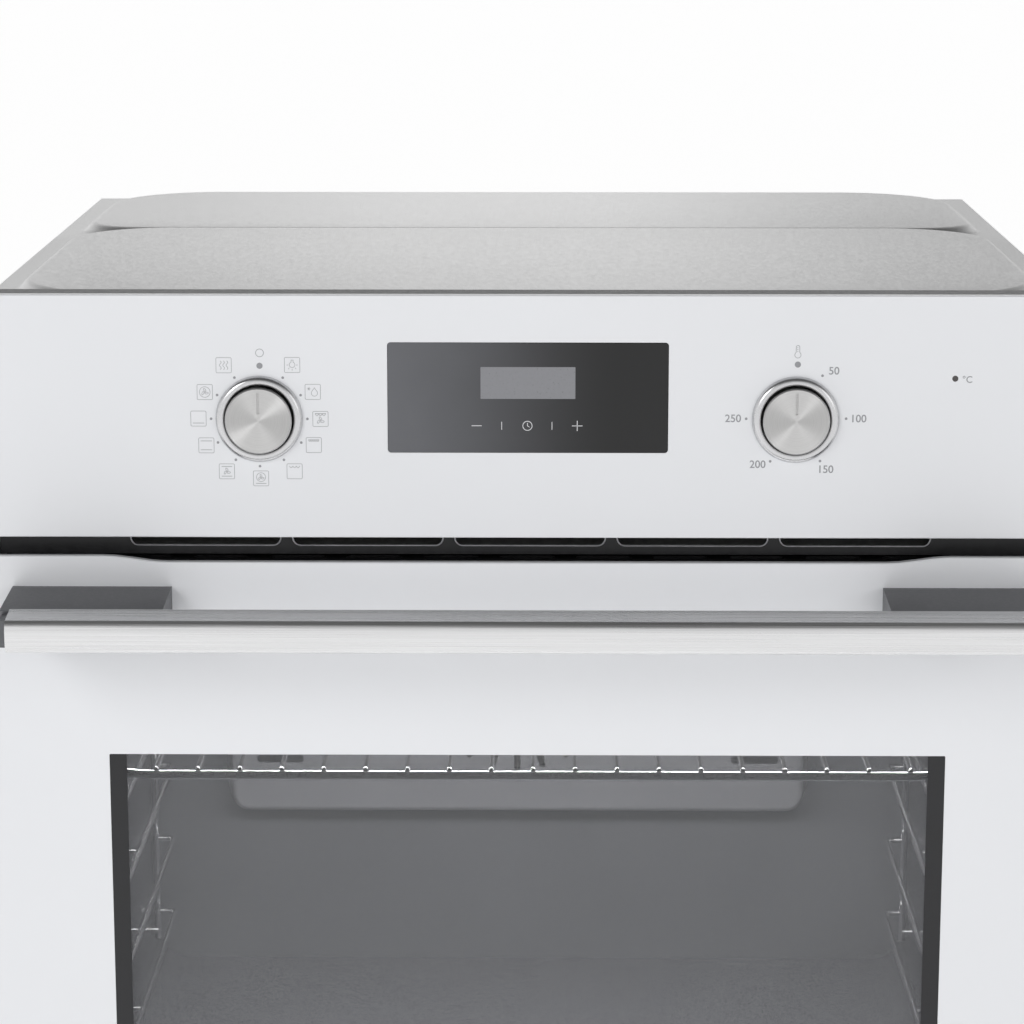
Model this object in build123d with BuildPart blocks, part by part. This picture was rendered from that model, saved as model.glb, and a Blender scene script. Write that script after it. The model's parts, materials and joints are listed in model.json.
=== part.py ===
from build123d import *
import os
from math import cos, radians, sin

os.makedirs("parts", exist_ok=True)

# A built-in electric oven. +X is to the viewer's right, the front faces -Y, +Z is up.
# Z = 0 is the underside, X = 0 the middle, and Y = 0 the middle of the whole depth.
# Depths are counted from the flange plane, which lies on the cabinet's front edge:
# negative in front of it, positive inside the cabinet.

# ---------------------------------------------------------------- driving dimensions
FRONT_W = 595.0
FRONT_H = 595.0
CASE_W = 556.0
CASE_TOP = 580.0
CASE_FLAT = 518.0
CASE_DEPTH = 544.5
HANDLE_OUT = 79.5
FLANGE_Y = (HANDLE_OUT - CASE_DEPTH) / 2
SHEET = 0.8

FACE = -20.0
GLASS_T = 4.0
GLASS_BACK = FACE + GLASS_T
PANEL_LOW = 475.4
PRINT_T = 0.1

KNOB_X = 130.1
KNOB_Z = 534.3
KNOB_R = 16.2
KNOB_FRONT = -26.5
KNOB_REAR = -3.0
KNOB_HOLE_R = 18.6
SPINDLE_R = 3.0
RUN_FIT = 0.05

FRAME_HALF = 292.0
RECESS_HALF = 262.0
FRAME_T = 1.5
RECESS_DEPTH = 22.0
FRAME_TOP = 466.0
NOTCH_Z = 34.0
NOTCH_DEPTH = 13.0
SCREW_X = 285.0
SCREW_Z = (150.0, 430.0)
SCREW_HOLE_R = 2.4

CAVITY_HALF = 240.0
CAVITY_LOW = 95.0
CAVITY_HIGH = 415.0
CAVITY_BACK = 430.0
CAVITY_R = 18.0
LINER_T = 1.0
FAN_X = -8.0
FAN_Z = 294.0
LAMP_X = 205.0
LAMP_Z = 372.0

PIVOT = -8.0
PIVOT_Z = 22.0
PIN_R = 3.0
DOOR_LOW = 5.0
DOOR_MID_TOP = 462.9
DOOR_END_TOP = 465.9
DOOR_INNER_HALF = 258.0
DOOR_INNER_LOW = 40.0
DOOR_INNER_TOP = 460.0
INNER_GLASS_FRONT = 12.0
INNER_GLASS_BACK = 16.0
WINDOW_HALF = 207.4
WINDOW_LOW = 110.0
WINDOW_TOP = 365.0

BAR_HALF = 247.4
BAR_BACK = -62.0
BRACKET_INNER = 174.4
BRACKET_OUTER = 252.6

SHELF_X = 3.0
SHELF_Z = 340.0
SHELF_HALF = 224.5
SHELF_BAR_R = 2.5
SHELF_WIRE_R = 1.5
SHELF_PITCH = 21.45
SHELF_WIRES = 19
SHELF_FRONT = 28.0
SHELF_BACK = 372.0


# ---------------------------------------------------------------- helpers
def front_plane(depth):
    """Plane facing the viewer at a depth: sketch x is X, sketch y is Z, and it extrudes forwards."""
    return Plane(origin=(0, FLANGE_Y + depth, 0), x_dir=(1, 0, 0), z_dir=(0, -1, 0))


def side_plane(x):
    """Plane across the width: sketch x is the depth, sketch y is Z, and it extrudes towards +X."""
    return Plane(origin=(x, FLANGE_Y, 0), x_dir=(0, 1, 0), z_dir=(1, 0, 0))


def level_plane(z):
    """Horizontal plane: sketch x is X, sketch y is the depth, and it extrudes upwards."""
    return Plane(origin=(0, FLANGE_Y, z), x_dir=(1, 0, 0), z_dir=(0, 0, 1))


def block(x_min, x_max, front, rear, low, high, mode=Mode.ADD):
    """Rectangular block between two widths, two depths and two heights."""
    with Locations(((x_min + x_max) / 2, FLANGE_Y + (front + rear) / 2, (low + high) / 2)):
        Box(x_max - x_min, rear - front, high - low, mode=mode)


def both_sides(x_min, x_max, front, rear, low, high, mode=Mode.ADD):
    """The same block on the right and, mirrored, on the left."""
    block(x_min, x_max, front, rear, low, high, mode)
    block(-x_max, -x_min, front, rear, low, high, mode)


def disc(x, z, radius, front, rear, mode=Mode.ADD):
    """Round bar along the depth."""
    with Locations(Location((x, FLANGE_Y + (front + rear) / 2, z), (90, 0, 0))):
        Cylinder(radius, rear - front, mode=mode)


def cross_bar(depth, z, radius, x_min, x_max, mode=Mode.ADD):
    """Round bar along the width."""
    with Locations(Location(((x_min + x_max) / 2, FLANGE_Y + depth, z), (0, 90, 0))):
        Cylinder(radius, x_max - x_min, mode=mode)


def post(x, depth, radius, low, high, mode=Mode.ADD):
    """Upright round bar."""
    with Locations((x, FLANGE_Y + depth, (low + high) / 2)):
        Cylinder(radius, high - low, mode=mode)


def rounded_block(x_min, x_max, low, high, corner, front, rear, mode=Mode.ADD):
    """Block with its four corners rounded as seen from the front."""
    with BuildSketch(front_plane(rear)) as outline:
        with Locations(((x_min + x_max) / 2, (low + high) / 2)):
            RectangleRounded(x_max - x_min, high - low, corner)
    extrude(outline.sketch, amount=rear - front, mode=mode)


def tube_path(points, radius, bend, plane):
    """Round tube along straight runs joined by bends, drawn on a plane."""
    with BuildLine(plane) as path:
        FilletPolyline(*points, radius=bend)
    with BuildSketch(Plane(origin=path.line @ 0, z_dir=path.line % 0)) as section:
        Circle(radius)
    sweep(sections=section.sketch, path=path.line)


# ================================================================ control panel
DISPLAY_LEFT = -67.7
DISPLAY_RIGHT = 68.3
DISPLAY_LOW = 517.8
DISPLAY_TOP = 571.9
DISPLAY_R = 1.6
DISPLAY_GAP = 0.1
PILOT_X = 206.8
PILOT_Z = 554.6
PILOT_R = 1.5
with BuildPart() as panel_glass:
    block(-FRONT_W / 2, FRONT_W / 2, FACE, GLASS_BACK, PANEL_LOW, FRONT_H)
    chamfer(panel_glass.edges().filter_by(Axis.Y, reverse=True).group_by(Axis.Y)[0], 0.5)
    rounded_block(DISPLAY_LEFT - DISPLAY_GAP, DISPLAY_RIGHT + DISPLAY_GAP, DISPLAY_LOW - DISPLAY_GAP,
                  DISPLAY_TOP + DISPLAY_GAP, DISPLAY_R + DISPLAY_GAP, FACE, GLASS_BACK, Mode.SUBTRACT)
    for side in (-1, 1):
        disc(side * KNOB_X, KNOB_Z, KNOB_HOLE_R, FACE, GLASS_BACK, Mode.SUBTRACT)
    disc(PILOT_X, PILOT_Z, PILOT_R, FACE, GLASS_BACK, Mode.SUBTRACT)
panel_glass.part.label = "panel_glass"
export_step(panel_glass.part, "parts/panel_glass.step")

with BuildPart() as display_glass:
    rounded_block(DISPLAY_LEFT, DISPLAY_RIGHT, DISPLAY_LOW, DISPLAY_TOP, DISPLAY_R, FACE, GLASS_BACK)
    chamfer(display_glass.faces().sort_by(Axis.Y)[0].edges(), 0.2)
display_glass.part.label = "display_glass"
export_step(display_glass.part, "parts/display_glass.step")

CARRIER_HALF = FRONT_W / 2 - 0.4
CARRIER_WALL = 2.0
with BuildPart() as panel_carrier:
    block(-CARRIER_HALF, CARRIER_HALF, GLASS_BACK, 0, PANEL_LOW + 0.4, FRONT_H - 0.2)
    block(-CARRIER_HALF + CARRIER_WALL, CARRIER_HALF - CARRIER_WALL, GLASS_BACK + CARRIER_WALL, 0,
          PANEL_LOW + 0.4 + CARRIER_WALL, FRONT_H - 0.2 - CARRIER_WALL, Mode.SUBTRACT)
    block(-62, 63, GLASS_BACK, GLASS_BACK + CARRIER_WALL, 524, 568, Mode.SUBTRACT)
    for side in (-1, 1):
        disc(side * KNOB_X, KNOB_Z, KNOB_HOLE_R + 0.2, GLASS_BACK, GLASS_BACK + CARRIER_WALL, Mode.SUBTRACT)
    disc(PILOT_X, PILOT_Z, PILOT_R + 0.3, GLASS_BACK, GLASS_BACK + CARRIER_WALL, Mode.SUBTRACT)
panel_carrier.part.label = "panel_carrier"
export_step(panel_carrier.part, "parts/panel_carrier.step")

with BuildPart() as display_module:
    block(-28, 28.5, GLASS_BACK, GLASS_BACK + 7, 540, 565)
    block(-45, 45.5, GLASS_BACK + 7, GLASS_BACK + 9, 530, 567)
display_module.part.label = "display_module"
export_step(display_module.part, "parts/display_module.step")

with BuildPart() as pilot_lamp:
    disc(PILOT_X, PILOT_Z, PILOT_R - 0.05, FACE, GLASS_BACK + CARRIER_WALL)
    disc(PILOT_X, PILOT_Z, 3.5, GLASS_BACK + CARRIER_WALL, GLASS_BACK + CARRIER_WALL + 6)
pilot_lamp.part.label = "pilot_lamp"
export_step(pilot_lamp.part, "parts/pilot_lamp.step")

RING_R = 21.6
RING_INNER = 16.95
with BuildPart() as knob_rings:
    for side in (-1, 1):
        disc(side * KNOB_X, KNOB_Z, RING_R, FACE - 3.0, FACE)
    fillet(knob_rings.edges().filter_by(GeomType.CIRCLE).group_by(Axis.Y)[0], 1.6)
    for side in (-1, 1):
        disc(side * KNOB_X, KNOB_Z, KNOB_HOLE_R - 0.2, FACE, FACE + 9)
        disc(side * KNOB_X, KNOB_Z, RING_INNER, FACE - 3.0, FACE + 9, Mode.SUBTRACT)
knob_rings.part.label = "knob_rings"
export_step(knob_rings.part, "parts/knob_rings.step")


def retractable_knob(x):
    """Brushed cap with a pointer slot, a chamfered rim and a bored core that slides on the spindle."""
    with BuildPart() as knob:
        disc(x, KNOB_Z, KNOB_R, KNOB_FRONT, KNOB_REAR)
        chamfer(knob.edges().filter_by(GeomType.CIRCLE).group_by(Axis.Y)[0], 0.6)
        disc(x, KNOB_Z, 14.6, -17, KNOB_REAR, Mode.SUBTRACT)
        disc(x, KNOB_Z, 6.5, -17, KNOB_REAR)
        disc(x, KNOB_Z, SPINDLE_R + RUN_FIT, -22, KNOB_REAR, Mode.SUBTRACT)
        block(x - 0.6, x + 0.6, KNOB_FRONT, KNOB_FRONT + 0.7, KNOB_Z + 3.5, KNOB_Z + 14, Mode.SUBTRACT)
    return knob


function_knob = retractable_knob(-KNOB_X)
function_knob.part.label = "function_knob"
export_step(function_knob.part, "parts/function_knob.step")

temperature_knob = retractable_knob(KNOB_X)
temperature_knob.part.label = "temperature_knob"
export_step(temperature_knob.part, "parts/temperature_knob.step")

for name, x in (("function_spindle", -KNOB_X), ("temperature_spindle", KNOB_X)):
    with BuildPart() as spindle:
        disc(x, KNOB_Z, SPINDLE_R, -20.5, 38)
        disc(x, KNOB_Z, 4.5, -1.2, 0.8)
    spindle.part.label = name
    export_step(spindle.part, "parts/" + name + ".step")

SLOT_W = 74.4
SLOT_PITCH = 80.2
SLOT_CENTRE = 1.4
SLOT_LOW = 467.7
with BuildPart() as vent_grille:
    block(-261, 261, -3.2, -1.7, 463.4, PANEL_LOW + 0.4)
    block(-261, 261, -1.7, 0, 463.4, 464.4)
    block(-261, 261, -1.7, 0, 475.0, PANEL_LOW + 0.4)
    with BuildSketch(front_plane(-1.7)):
        with Locations((SLOT_CENTRE, SLOT_LOW + 5)):
            with GridLocations(SLOT_PITCH, 1, 5, 1):
                RectangleRounded(SLOT_W, 10, 4)
        with Locations((0, SLOT_LOW + 11)):
            Rectangle(FRONT_W, 8, mode=Mode.SUBTRACT)
    extrude(amount=1.5, mode=Mode.SUBTRACT)
vent_grille.part.label = "vent_grille"
export_step(vent_grille.part, "parts/vent_grille.step")

# ================================================================ control compartment
with BuildPart() as switch_plate:
    block(-276.4, 276.4, 0, FRAME_T, 476.4, 578.2)
    for side in (-1, 1):
        disc(side * KNOB_X, KNOB_Z, 6, 0, FRAME_T, Mode.SUBTRACT)
    block(-15, 15, 0, FRAME_T, 540, 560, Mode.SUBTRACT)
switch_plate.part.label = "switch_plate"
export_step(switch_plate.part, "parts/switch_plate.step")

with BuildPart() as function_selector:
    block(-KNOB_X - 23, -KNOB_X + 23, FRAME_T, 6, KNOB_Z - 23, KNOB_Z + 23)
    disc(-KNOB_X, KNOB_Z, 20, 6, 46)
    disc(-KNOB_X, KNOB_Z, SPINDLE_R + RUN_FIT, FRAME_T, 39, Mode.SUBTRACT)
    block(-KNOB_X - 25, -KNOB_X + 25, 40, 46, KNOB_Z - 4, KNOB_Z + 4)
function_selector.part.label = "function_selector"
export_step(function_selector.part, "parts/function_selector.step")

with BuildPart() as thermostat_switch:
    block(KNOB_X - 18, KNOB_X + 18, FRAME_T, 42, KNOB_Z - 18, KNOB_Z + 18)
    disc(KNOB_X, KNOB_Z, SPINDLE_R + RUN_FIT, FRAME_T, 39, Mode.SUBTRACT)
    block(KNOB_X - 4, KNOB_X + 12, 42, 50, KNOB_Z + 4, KNOB_Z + 5)
thermostat_switch.part.label = "thermostat_switch"
export_step(thermostat_switch.part, "parts/thermostat_switch.step")

# The probe lies under the cavity's ceiling; its capillary leads over the cavity to the thermostat.
PROBE_X = 120.0
PROBE_Z = 396.0
CAPILLARY_Z = KNOB_Z - 14
with BuildPart() as thermostat_probe:
    disc(PROBE_X, PROBE_Z, 2.5, 350, CAVITY_BACK)
    tube_path([(CAVITY_BACK - 1, PROBE_Z), (468, PROBE_Z), (468, CAPILLARY_Z), (42, CAPILLARY_Z)],
              1.0, 18, side_plane(PROBE_X))
thermostat_probe.part.label = "thermostat_probe"
export_step(thermostat_probe.part, "parts/thermostat_probe.step")

with BuildPart() as control_board:
    block(-62, 58, 12, 13.6, 505, 575)
    for x, z in ((-58, 509), (54, 509), (-58, 571), (54, 571)):
        disc(x, z, 3, FRAME_T, 12)
    block(-50, -18, 13.6, 38, 512, 540)
    block(-8, 10, 13.6, 30, 512, 530)
    block(14, 32, 13.6, 30, 512, 530)
    block(-50, -30, 13.6, 24, 550, 570)
    disc(42, 545, 8, 13.6, 34)
control_board.part.label = "control_board"
export_step(control_board.part, "parts/control_board.step")

DUCT_HALF = 205.0
DUCT_LOW = 442.0
DUCT_TOP = 475.2
DUCT_THROAT = 466.8
DUCT_T = 0.8
OUTLET = (312.0, 352.0)
with BuildPart() as air_duct:
    block(-DUCT_HALF, DUCT_HALF, 0, 25, DUCT_THROAT, DUCT_TOP)
    block(-DUCT_HALF, DUCT_HALF, 23, 370, DUCT_LOW, DUCT_TOP)
    block(-DUCT_HALF + DUCT_T, DUCT_HALF - DUCT_T, 0, 25, DUCT_THROAT + DUCT_T,
          DUCT_TOP - DUCT_T, Mode.SUBTRACT)
    block(-DUCT_HALF + DUCT_T, DUCT_HALF - DUCT_T, 23 + DUCT_T, 370 - DUCT_T, DUCT_LOW + DUCT_T,
          DUCT_TOP - DUCT_T, Mode.SUBTRACT)
    block(-90, 90, OUTLET[0], OUTLET[1], DUCT_TOP - 2, DUCT_TOP + 2, Mode.SUBTRACT)
air_duct.part.label = "air_duct"
export_step(air_duct.part, "parts/air_duct.step")

# Cross-flow cooling fan: the rotor lies along the width over the duct's outlet.
ROTOR_DEPTH = 345.0
ROTOR_Z = 518.0
ROTOR_R = 30.0
SCROLL_R = 36.0
SCROLL_HALF = 100.0
with BuildPart() as cooling_fan_housing:
    cross_bar(ROTOR_DEPTH, ROTOR_Z, SCROLL_R, -SCROLL_HALF, SCROLL_HALF)
    block(-SCROLL_HALF, SCROLL_HALF, ROTOR_DEPTH - SCROLL_R, ROTOR_DEPTH + 12, DUCT_TOP, ROTOR_Z)
    cross_bar(ROTOR_DEPTH, ROTOR_Z, SCROLL_R - SHEET, -SCROLL_HALF + 2, SCROLL_HALF - 2, Mode.SUBTRACT)
    block(-SCROLL_HALF + 2, SCROLL_HALF - 2, ROTOR_DEPTH - SCROLL_R + SHEET, ROTOR_DEPTH + 12 - SHEET,
          DUCT_TOP, ROTOR_Z, Mode.SUBTRACT)
    block(-SCROLL_HALF + 2, SCROLL_HALF - 2, ROTOR_DEPTH, ROTOR_DEPTH + SCROLL_R, ROTOR_Z + 4,
          ROTOR_Z + SCROLL_R, Mode.SUBTRACT)
    cross_bar(ROTOR_DEPTH, ROTOR_Z, SPINDLE_R + RUN_FIT, -SCROLL_HALF, SCROLL_HALF, Mode.SUBTRACT)
cooling_fan_housing.part.label = "cooling_fan_housing"
export_step(cooling_fan_housing.part, "parts/cooling_fan_housing.step")

ROTOR_HALF = 94.0
BLADES = 18
with BuildPart() as cooling_fan_rotor:
    cross_bar(ROTOR_DEPTH, ROTOR_Z, SPINDLE_R, -136, SCROLL_HALF - 0.5)
    for x in (-ROTOR_HALF, -1, ROTOR_HALF - 2):
        cross_bar(ROTOR_DEPTH, ROTOR_Z, ROTOR_R, x, x + 2)
    for k in range(BLADES):
        turn = 360 / BLADES * k
        spot = (0, FLANGE_Y + ROTOR_DEPTH + 26 * cos(radians(turn)), ROTOR_Z + 26 * sin(radians(turn)))
        with Locations(Location(spot, (turn + 20, 0, 0))):
            Box(2 * ROTOR_HALF, 8, 1)
cooling_fan_rotor.part.label = "cooling_fan_rotor"
export_step(cooling_fan_rotor.part, "parts/cooling_fan_rotor.step")

with BuildPart() as cooling_fan_motor:
    cross_bar(ROTOR_DEPTH, ROTOR_Z, 24, -138, -SCROLL_HALF - 2)
    cross_bar(ROTOR_DEPTH, ROTOR_Z, 10, -SCROLL_HALF - 2, -SCROLL_HALF)
    cross_bar(ROTOR_DEPTH, ROTOR_Z, SPINDLE_R + RUN_FIT, -137, -SCROLL_HALF, Mode.SUBTRACT)
cooling_fan_motor.part.label = "cooling_fan_motor"
export_step(cooling_fan_motor.part, "parts/cooling_fan_motor.step")

# ================================================================ front frame and cavity
# A groove behind each flange faces the side sheet's front edge and leaves the outer strip free.
FLANGE_TOP = 470.0
SIDE_GROOVE = (CASE_W / 2 - 1.7, CASE_W / 2 + 0.8)
with BuildPart() as front_frame:
    block(-RECESS_HALF - FRAME_T, RECESS_HALF + FRAME_T, RECESS_DEPTH - FRAME_T, RECESS_DEPTH, 2, FRAME_TOP)
    both_sides(RECESS_HALF, FRAME_HALF, -FRAME_T, 0, NOTCH_Z, FLANGE_TOP)
    both_sides(RECESS_HALF, RECESS_HALF + FRAME_T, 0, RECESS_DEPTH, NOTCH_Z, FRAME_TOP)
    both_sides(RECESS_HALF, RECESS_HALF + FRAME_T, NOTCH_DEPTH, RECESS_DEPTH, 2, NOTCH_Z)
    block(-RECESS_HALF, RECESS_HALF, 0, RECESS_DEPTH, FRAME_TOP - FRAME_T, FRAME_TOP)
    block(-CAVITY_HALF, CAVITY_HALF, RECESS_DEPTH - FRAME_T, RECESS_DEPTH, CAVITY_LOW, CAVITY_HIGH,
          Mode.SUBTRACT)
    both_sides(SIDE_GROOVE[0], SIDE_GROOVE[1], -0.5, 0, NOTCH_Z, FLANGE_TOP, Mode.SUBTRACT)
    for z in SCREW_Z:
        for side in (-1, 1):
            disc(side * SCREW_X, z, SCREW_HOLE_R, -FRAME_T, 0, Mode.SUBTRACT)
front_frame.part.label = "front_frame"
export_step(front_frame.part, "parts/front_frame.step")

# Four corner gussets at the liner's mouth fill the square corners of the frame's opening.
with BuildPart() as cavity_liner:
    rounded_block(-CAVITY_HALF - LINER_T, CAVITY_HALF + LINER_T, CAVITY_LOW - LINER_T, CAVITY_HIGH + LINER_T,
                  CAVITY_R + LINER_T, RECESS_DEPTH, CAVITY_BACK + LINER_T)
    block(-CAVITY_HALF, CAVITY_HALF, RECESS_DEPTH - FRAME_T, RECESS_DEPTH, CAVITY_LOW, CAVITY_HIGH)
    rounded_block(-CAVITY_HALF, CAVITY_HALF, CAVITY_LOW, CAVITY_HIGH, CAVITY_R,
                  RECESS_DEPTH - FRAME_T, CAVITY_BACK, Mode.SUBTRACT)
    disc(FAN_X, FAN_Z, 8, CAVITY_BACK, CAVITY_BACK + LINER_T, Mode.SUBTRACT)
    disc(LAMP_X, LAMP_Z, 15, CAVITY_BACK, CAVITY_BACK + LINER_T, Mode.SUBTRACT)
    disc(PROBE_X, PROBE_Z, 3, CAVITY_BACK, CAVITY_BACK + LINER_T, Mode.SUBTRACT)
cavity_liner.part.label = "cavity_liner"
export_step(cavity_liner.part, "parts/cavity_liner.step")

with BuildPart() as insulation_blanket:
    block(-266, 266, 24, 456, 69, 440)
    block(-242, 242, 23, 432, 84, 417, Mode.SUBTRACT)
    block(-140, 232, 431, 457, 190, 404, Mode.SUBTRACT)
insulation_blanket.part.label = "insulation_blanket"
export_step(insulation_blanket.part, "parts/insulation_blanket.step")

with BuildPart() as door_gasket:
    rounded_block(-251, 251, 84, 426, 26, 16.4, RECESS_DEPTH - FRAME_T)
    rounded_block(-245, 245, 90, 420, 20, 16.4, RECESS_DEPTH - FRAME_T, Mode.SUBTRACT)
    fillet(door_gasket.edges().group_by(Axis.Y)[0], 1.8)
door_gasket.part.label = "door_gasket"
export_step(door_gasket.part, "parts/door_gasket.step")

# ---- elements
ELEMENT_R = 3.25
GRILL_Z = 402.0
with BuildPart() as grill_element:
    tube_path([(-35, CAVITY_BACK - 0.5), (-35, 335), (-185, 335), (-185, 72), (-132, 72), (-132, 270),
               (-79, 270), (-79, 72), (-26, 72), (-26, 270), (26, 270), (26, 72), (79, 72), (79, 270),
               (132, 270), (132, 72), (185, 72), (185, 335), (35, 335), (35, CAVITY_BACK - 0.5)],
              ELEMENT_R, 22, level_plane(GRILL_Z))
    for x in (-132, 132):
        block(x - 6, x + 6, 150, 152, GRILL_Z + 2, CAVITY_HIGH)
    block(-50, 50, CAVITY_BACK - 2, CAVITY_BACK, GRILL_Z - 7, GRILL_Z + 7)
grill_element.part.label = "grill_element"
export_step(grill_element.part, "parts/grill_element.step")

with BuildPart() as bottom_element:
    tube_path([(-40, CAVITY_BACK), (-40, 360), (-180, 360), (-180, 80), (180, 80), (180, 360), (40, 360),
               (40, CAVITY_BACK)], ELEMENT_R, 30, level_plane(CAVITY_LOW - LINER_T - ELEMENT_R - 1))
bottom_element.part.label = "bottom_element"
export_step(bottom_element.part, "parts/bottom_element.step")

COVER_FRONT = 400.0
with BuildPart() as fan_cover:
    with BuildSketch(front_plane(CAVITY_BACK)):
        with Locations((FAN_X, FAN_Z)):
            RectangleRounded(372, 190, 16)
    extrude(amount=CAVITY_BACK - COVER_FRONT, taper=10)
    fillet(fan_cover.faces().sort_by(Axis.Y)[0].edges(), 4)
    with BuildSketch(front_plane(CAVITY_BACK)):
        with Locations((FAN_X, FAN_Z)):
            RectangleRounded(369.6, 187.6, 14.8)
    extrude(amount=CAVITY_BACK - COVER_FRONT - SHEET, taper=10, mode=Mode.SUBTRACT)
    with BuildSketch(front_plane(CAVITY_BACK - 20)):
        with Locations((FAN_X, FAN_Z)):
            with PolarLocations(26, 12):
                SlotOverall(30, 5)
            with PolarLocations(54, 24):
                SlotOverall(18, 4)
            with GridLocations(300, 16, 2, 8):
                SlotOverall(30, 5)
    extrude(amount=14, mode=Mode.SUBTRACT)
fan_cover.part.label = "fan_cover"
export_step(fan_cover.part, "parts/fan_cover.step")

with BuildPart() as ring_element:
    with BuildSketch(Plane(origin=(FAN_X + 80, FLANGE_Y + 416, FAN_Z), x_dir=(1, 0, 0), z_dir=(0, 0, 1))):
        Circle(ELEMENT_R)
    revolve(axis=Axis((FAN_X, FLANGE_Y + 416, FAN_Z), (0, 1, 0)))
    for x in (-30, 30):
        disc(FAN_X + x, FAN_Z - 74.2, ELEMENT_R, 416, CAVITY_BACK)
ring_element.part.label = "ring_element"
export_step(ring_element.part, "parts/ring_element.step")

with BuildPart() as convection_impeller:
    disc(FAN_X, FAN_Z, 68, 425, 426)
    disc(FAN_X, FAN_Z, 9, 406, 426)
    disc(FAN_X, FAN_Z, 4, 404, 500)
    for k in range(8):
        turn = 45 * k
        spot = (FAN_X + 43 * cos(radians(turn)), FLANGE_Y + 418.5, FAN_Z - 43 * sin(radians(turn)))
        with Locations(Location(spot, (0, turn, 0))):
            Box(46, 13, 1)
convection_impeller.part.label = "convection_impeller"
export_step(convection_impeller.part, "parts/convection_impeller.step")

with BuildPart() as convection_motor:
    block(FAN_X - 60, FAN_X + 60, 457, 459, FAN_Z - 60, FAN_Z + 60)
    disc(FAN_X, FAN_Z, 40, 459, 504)
    disc(FAN_X, FAN_Z, 14, 504, 510)
    disc(FAN_X, FAN_Z, 4 + RUN_FIT, 457, 501, Mode.SUBTRACT)
    for x in (-50, 50):
        for z in (-50, 50):
            disc(FAN_X + x, FAN_Z + z, 5, CAVITY_BACK + LINER_T, 457)
convection_motor.part.label = "convection_motor"
export_step(convection_motor.part, "parts/convection_motor.step")

# ---- lamp
with BuildPart() as lamp_housing:
    disc(LAMP_X, LAMP_Z, 24, CAVITY_BACK + LINER_T, CAVITY_BACK + LINER_T + 2)
    disc(LAMP_X, LAMP_Z, 18.5, CAVITY_BACK + LINER_T, 470)
    disc(LAMP_X, LAMP_Z, 16, CAVITY_BACK + LINER_T, 466, Mode.SUBTRACT)
lamp_housing.part.label = "lamp_housing"
export_step(lamp_housing.part, "parts/lamp_housing.step")

with BuildPart() as lamp_lens:
    disc(LAMP_X, LAMP_Z, 22, 416, CAVITY_BACK)
    fillet(lamp_lens.edges().filter_by(GeomType.CIRCLE).group_by(Axis.Y)[0], 8)
    disc(LAMP_X, LAMP_Z, 14.8, 419, CAVITY_BACK, Mode.SUBTRACT)
lamp_lens.part.label = "lamp_lens"
export_step(lamp_lens.part, "parts/lamp_lens.step")

with BuildPart() as lamp_bulb:
    disc(LAMP_X, LAMP_Z, 8, 424, 448)
    fillet(lamp_bulb.edges().filter_by(GeomType.CIRCLE).group_by(Axis.Y)[0], 6)
    disc(LAMP_X, LAMP_Z, 10, 448, 466)
lamp_bulb.part.label = "lamp_bulb"
export_step(lamp_bulb.part, "parts/lamp_bulb.step")

# ---- side racks: five rails each side, on three uprights hung from studs in the walls
RAIL_X = 224.0
RACK_X = 235.6
RACK_R = 2.0
UPRIGHT_R = 2.4
RAIL_TOP = SHELF_Z - SHELF_BAR_R - RACK_R - 0.3
with BuildPart() as shelf_racks:
    for side in (-1, 1):
        for k in range(5):
            tube_path([(side * RACK_X, 38), (side * RAIL_X, 38), (side * RAIL_X, 382), (side * RACK_X, 382)],
                      RACK_R, 5, level_plane(RAIL_TOP - 48 * k))
        for depth in (38, 210, 382):
            post(side * RACK_X, depth, UPRIGHT_R, RAIL_TOP - 210, RAIL_TOP + 40)
        for depth in (38, 382):
            for z in (RAIL_TOP - 205, RAIL_TOP + 35):
                cross_bar(depth, z, 3, min(side * RACK_X, side * CAVITY_HALF),
                          max(side * RACK_X, side * CAVITY_HALF))
        for k in range(5):
            cross_bar(210, RAIL_TOP - 48 * k, RACK_R - 0.3, min(side * RAIL_X, side * RACK_X),
                      max(side * RAIL_X, side * RACK_X))
shelf_racks.part.label = "shelf_racks"
export_step(shelf_racks.part, "parts/shelf_racks.step")

# ---- wire shelf: a frame with rounded corners and long wires welded on top of it
SHELF_BEND = 30.5
SHELF_WIRE_Z = SHELF_Z + SHELF_BAR_R + SHELF_WIRE_R - 0.3
SHELF_WIRE_FRONT = SHELF_FRONT - 4.0
with BuildPart() as wire_shelf:
    with BuildSketch(level_plane(SHELF_Z), mode=Mode.PRIVATE) as shelf_outline:
        with Locations((SHELF_X, (SHELF_FRONT + SHELF_BACK) / 2)):
            RectangleRounded(2 * SHELF_HALF, SHELF_BACK - SHELF_FRONT, SHELF_BEND)
    shelf_frame = shelf_outline.sketch.face().outer_wire()
    with BuildSketch(Plane(origin=shelf_frame @ 0, z_dir=shelf_frame % 0)):
        Circle(SHELF_BAR_R)
    sweep(path=shelf_frame)
    cross_bar(200, SHELF_Z, SHELF_BAR_R - 0.4, SHELF_X - SHELF_HALF, SHELF_X + SHELF_HALF)
    for k in range(SHELF_WIRES):
        x = SHELF_X + SHELF_PITCH * (k - (SHELF_WIRES - 1) / 2)
        disc(x, SHELF_WIRE_Z, SHELF_WIRE_R, SHELF_WIRE_FRONT, SHELF_BACK + 2.5)
    fillet(wire_shelf.edges().filter_by(GeomType.CIRCLE).group_by(Axis.Y)[0], SHELF_WIRE_R - 0.1)
wire_shelf.part.label = "wire_shelf"
export_step(wire_shelf.part, "parts/wire_shelf.step")


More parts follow.
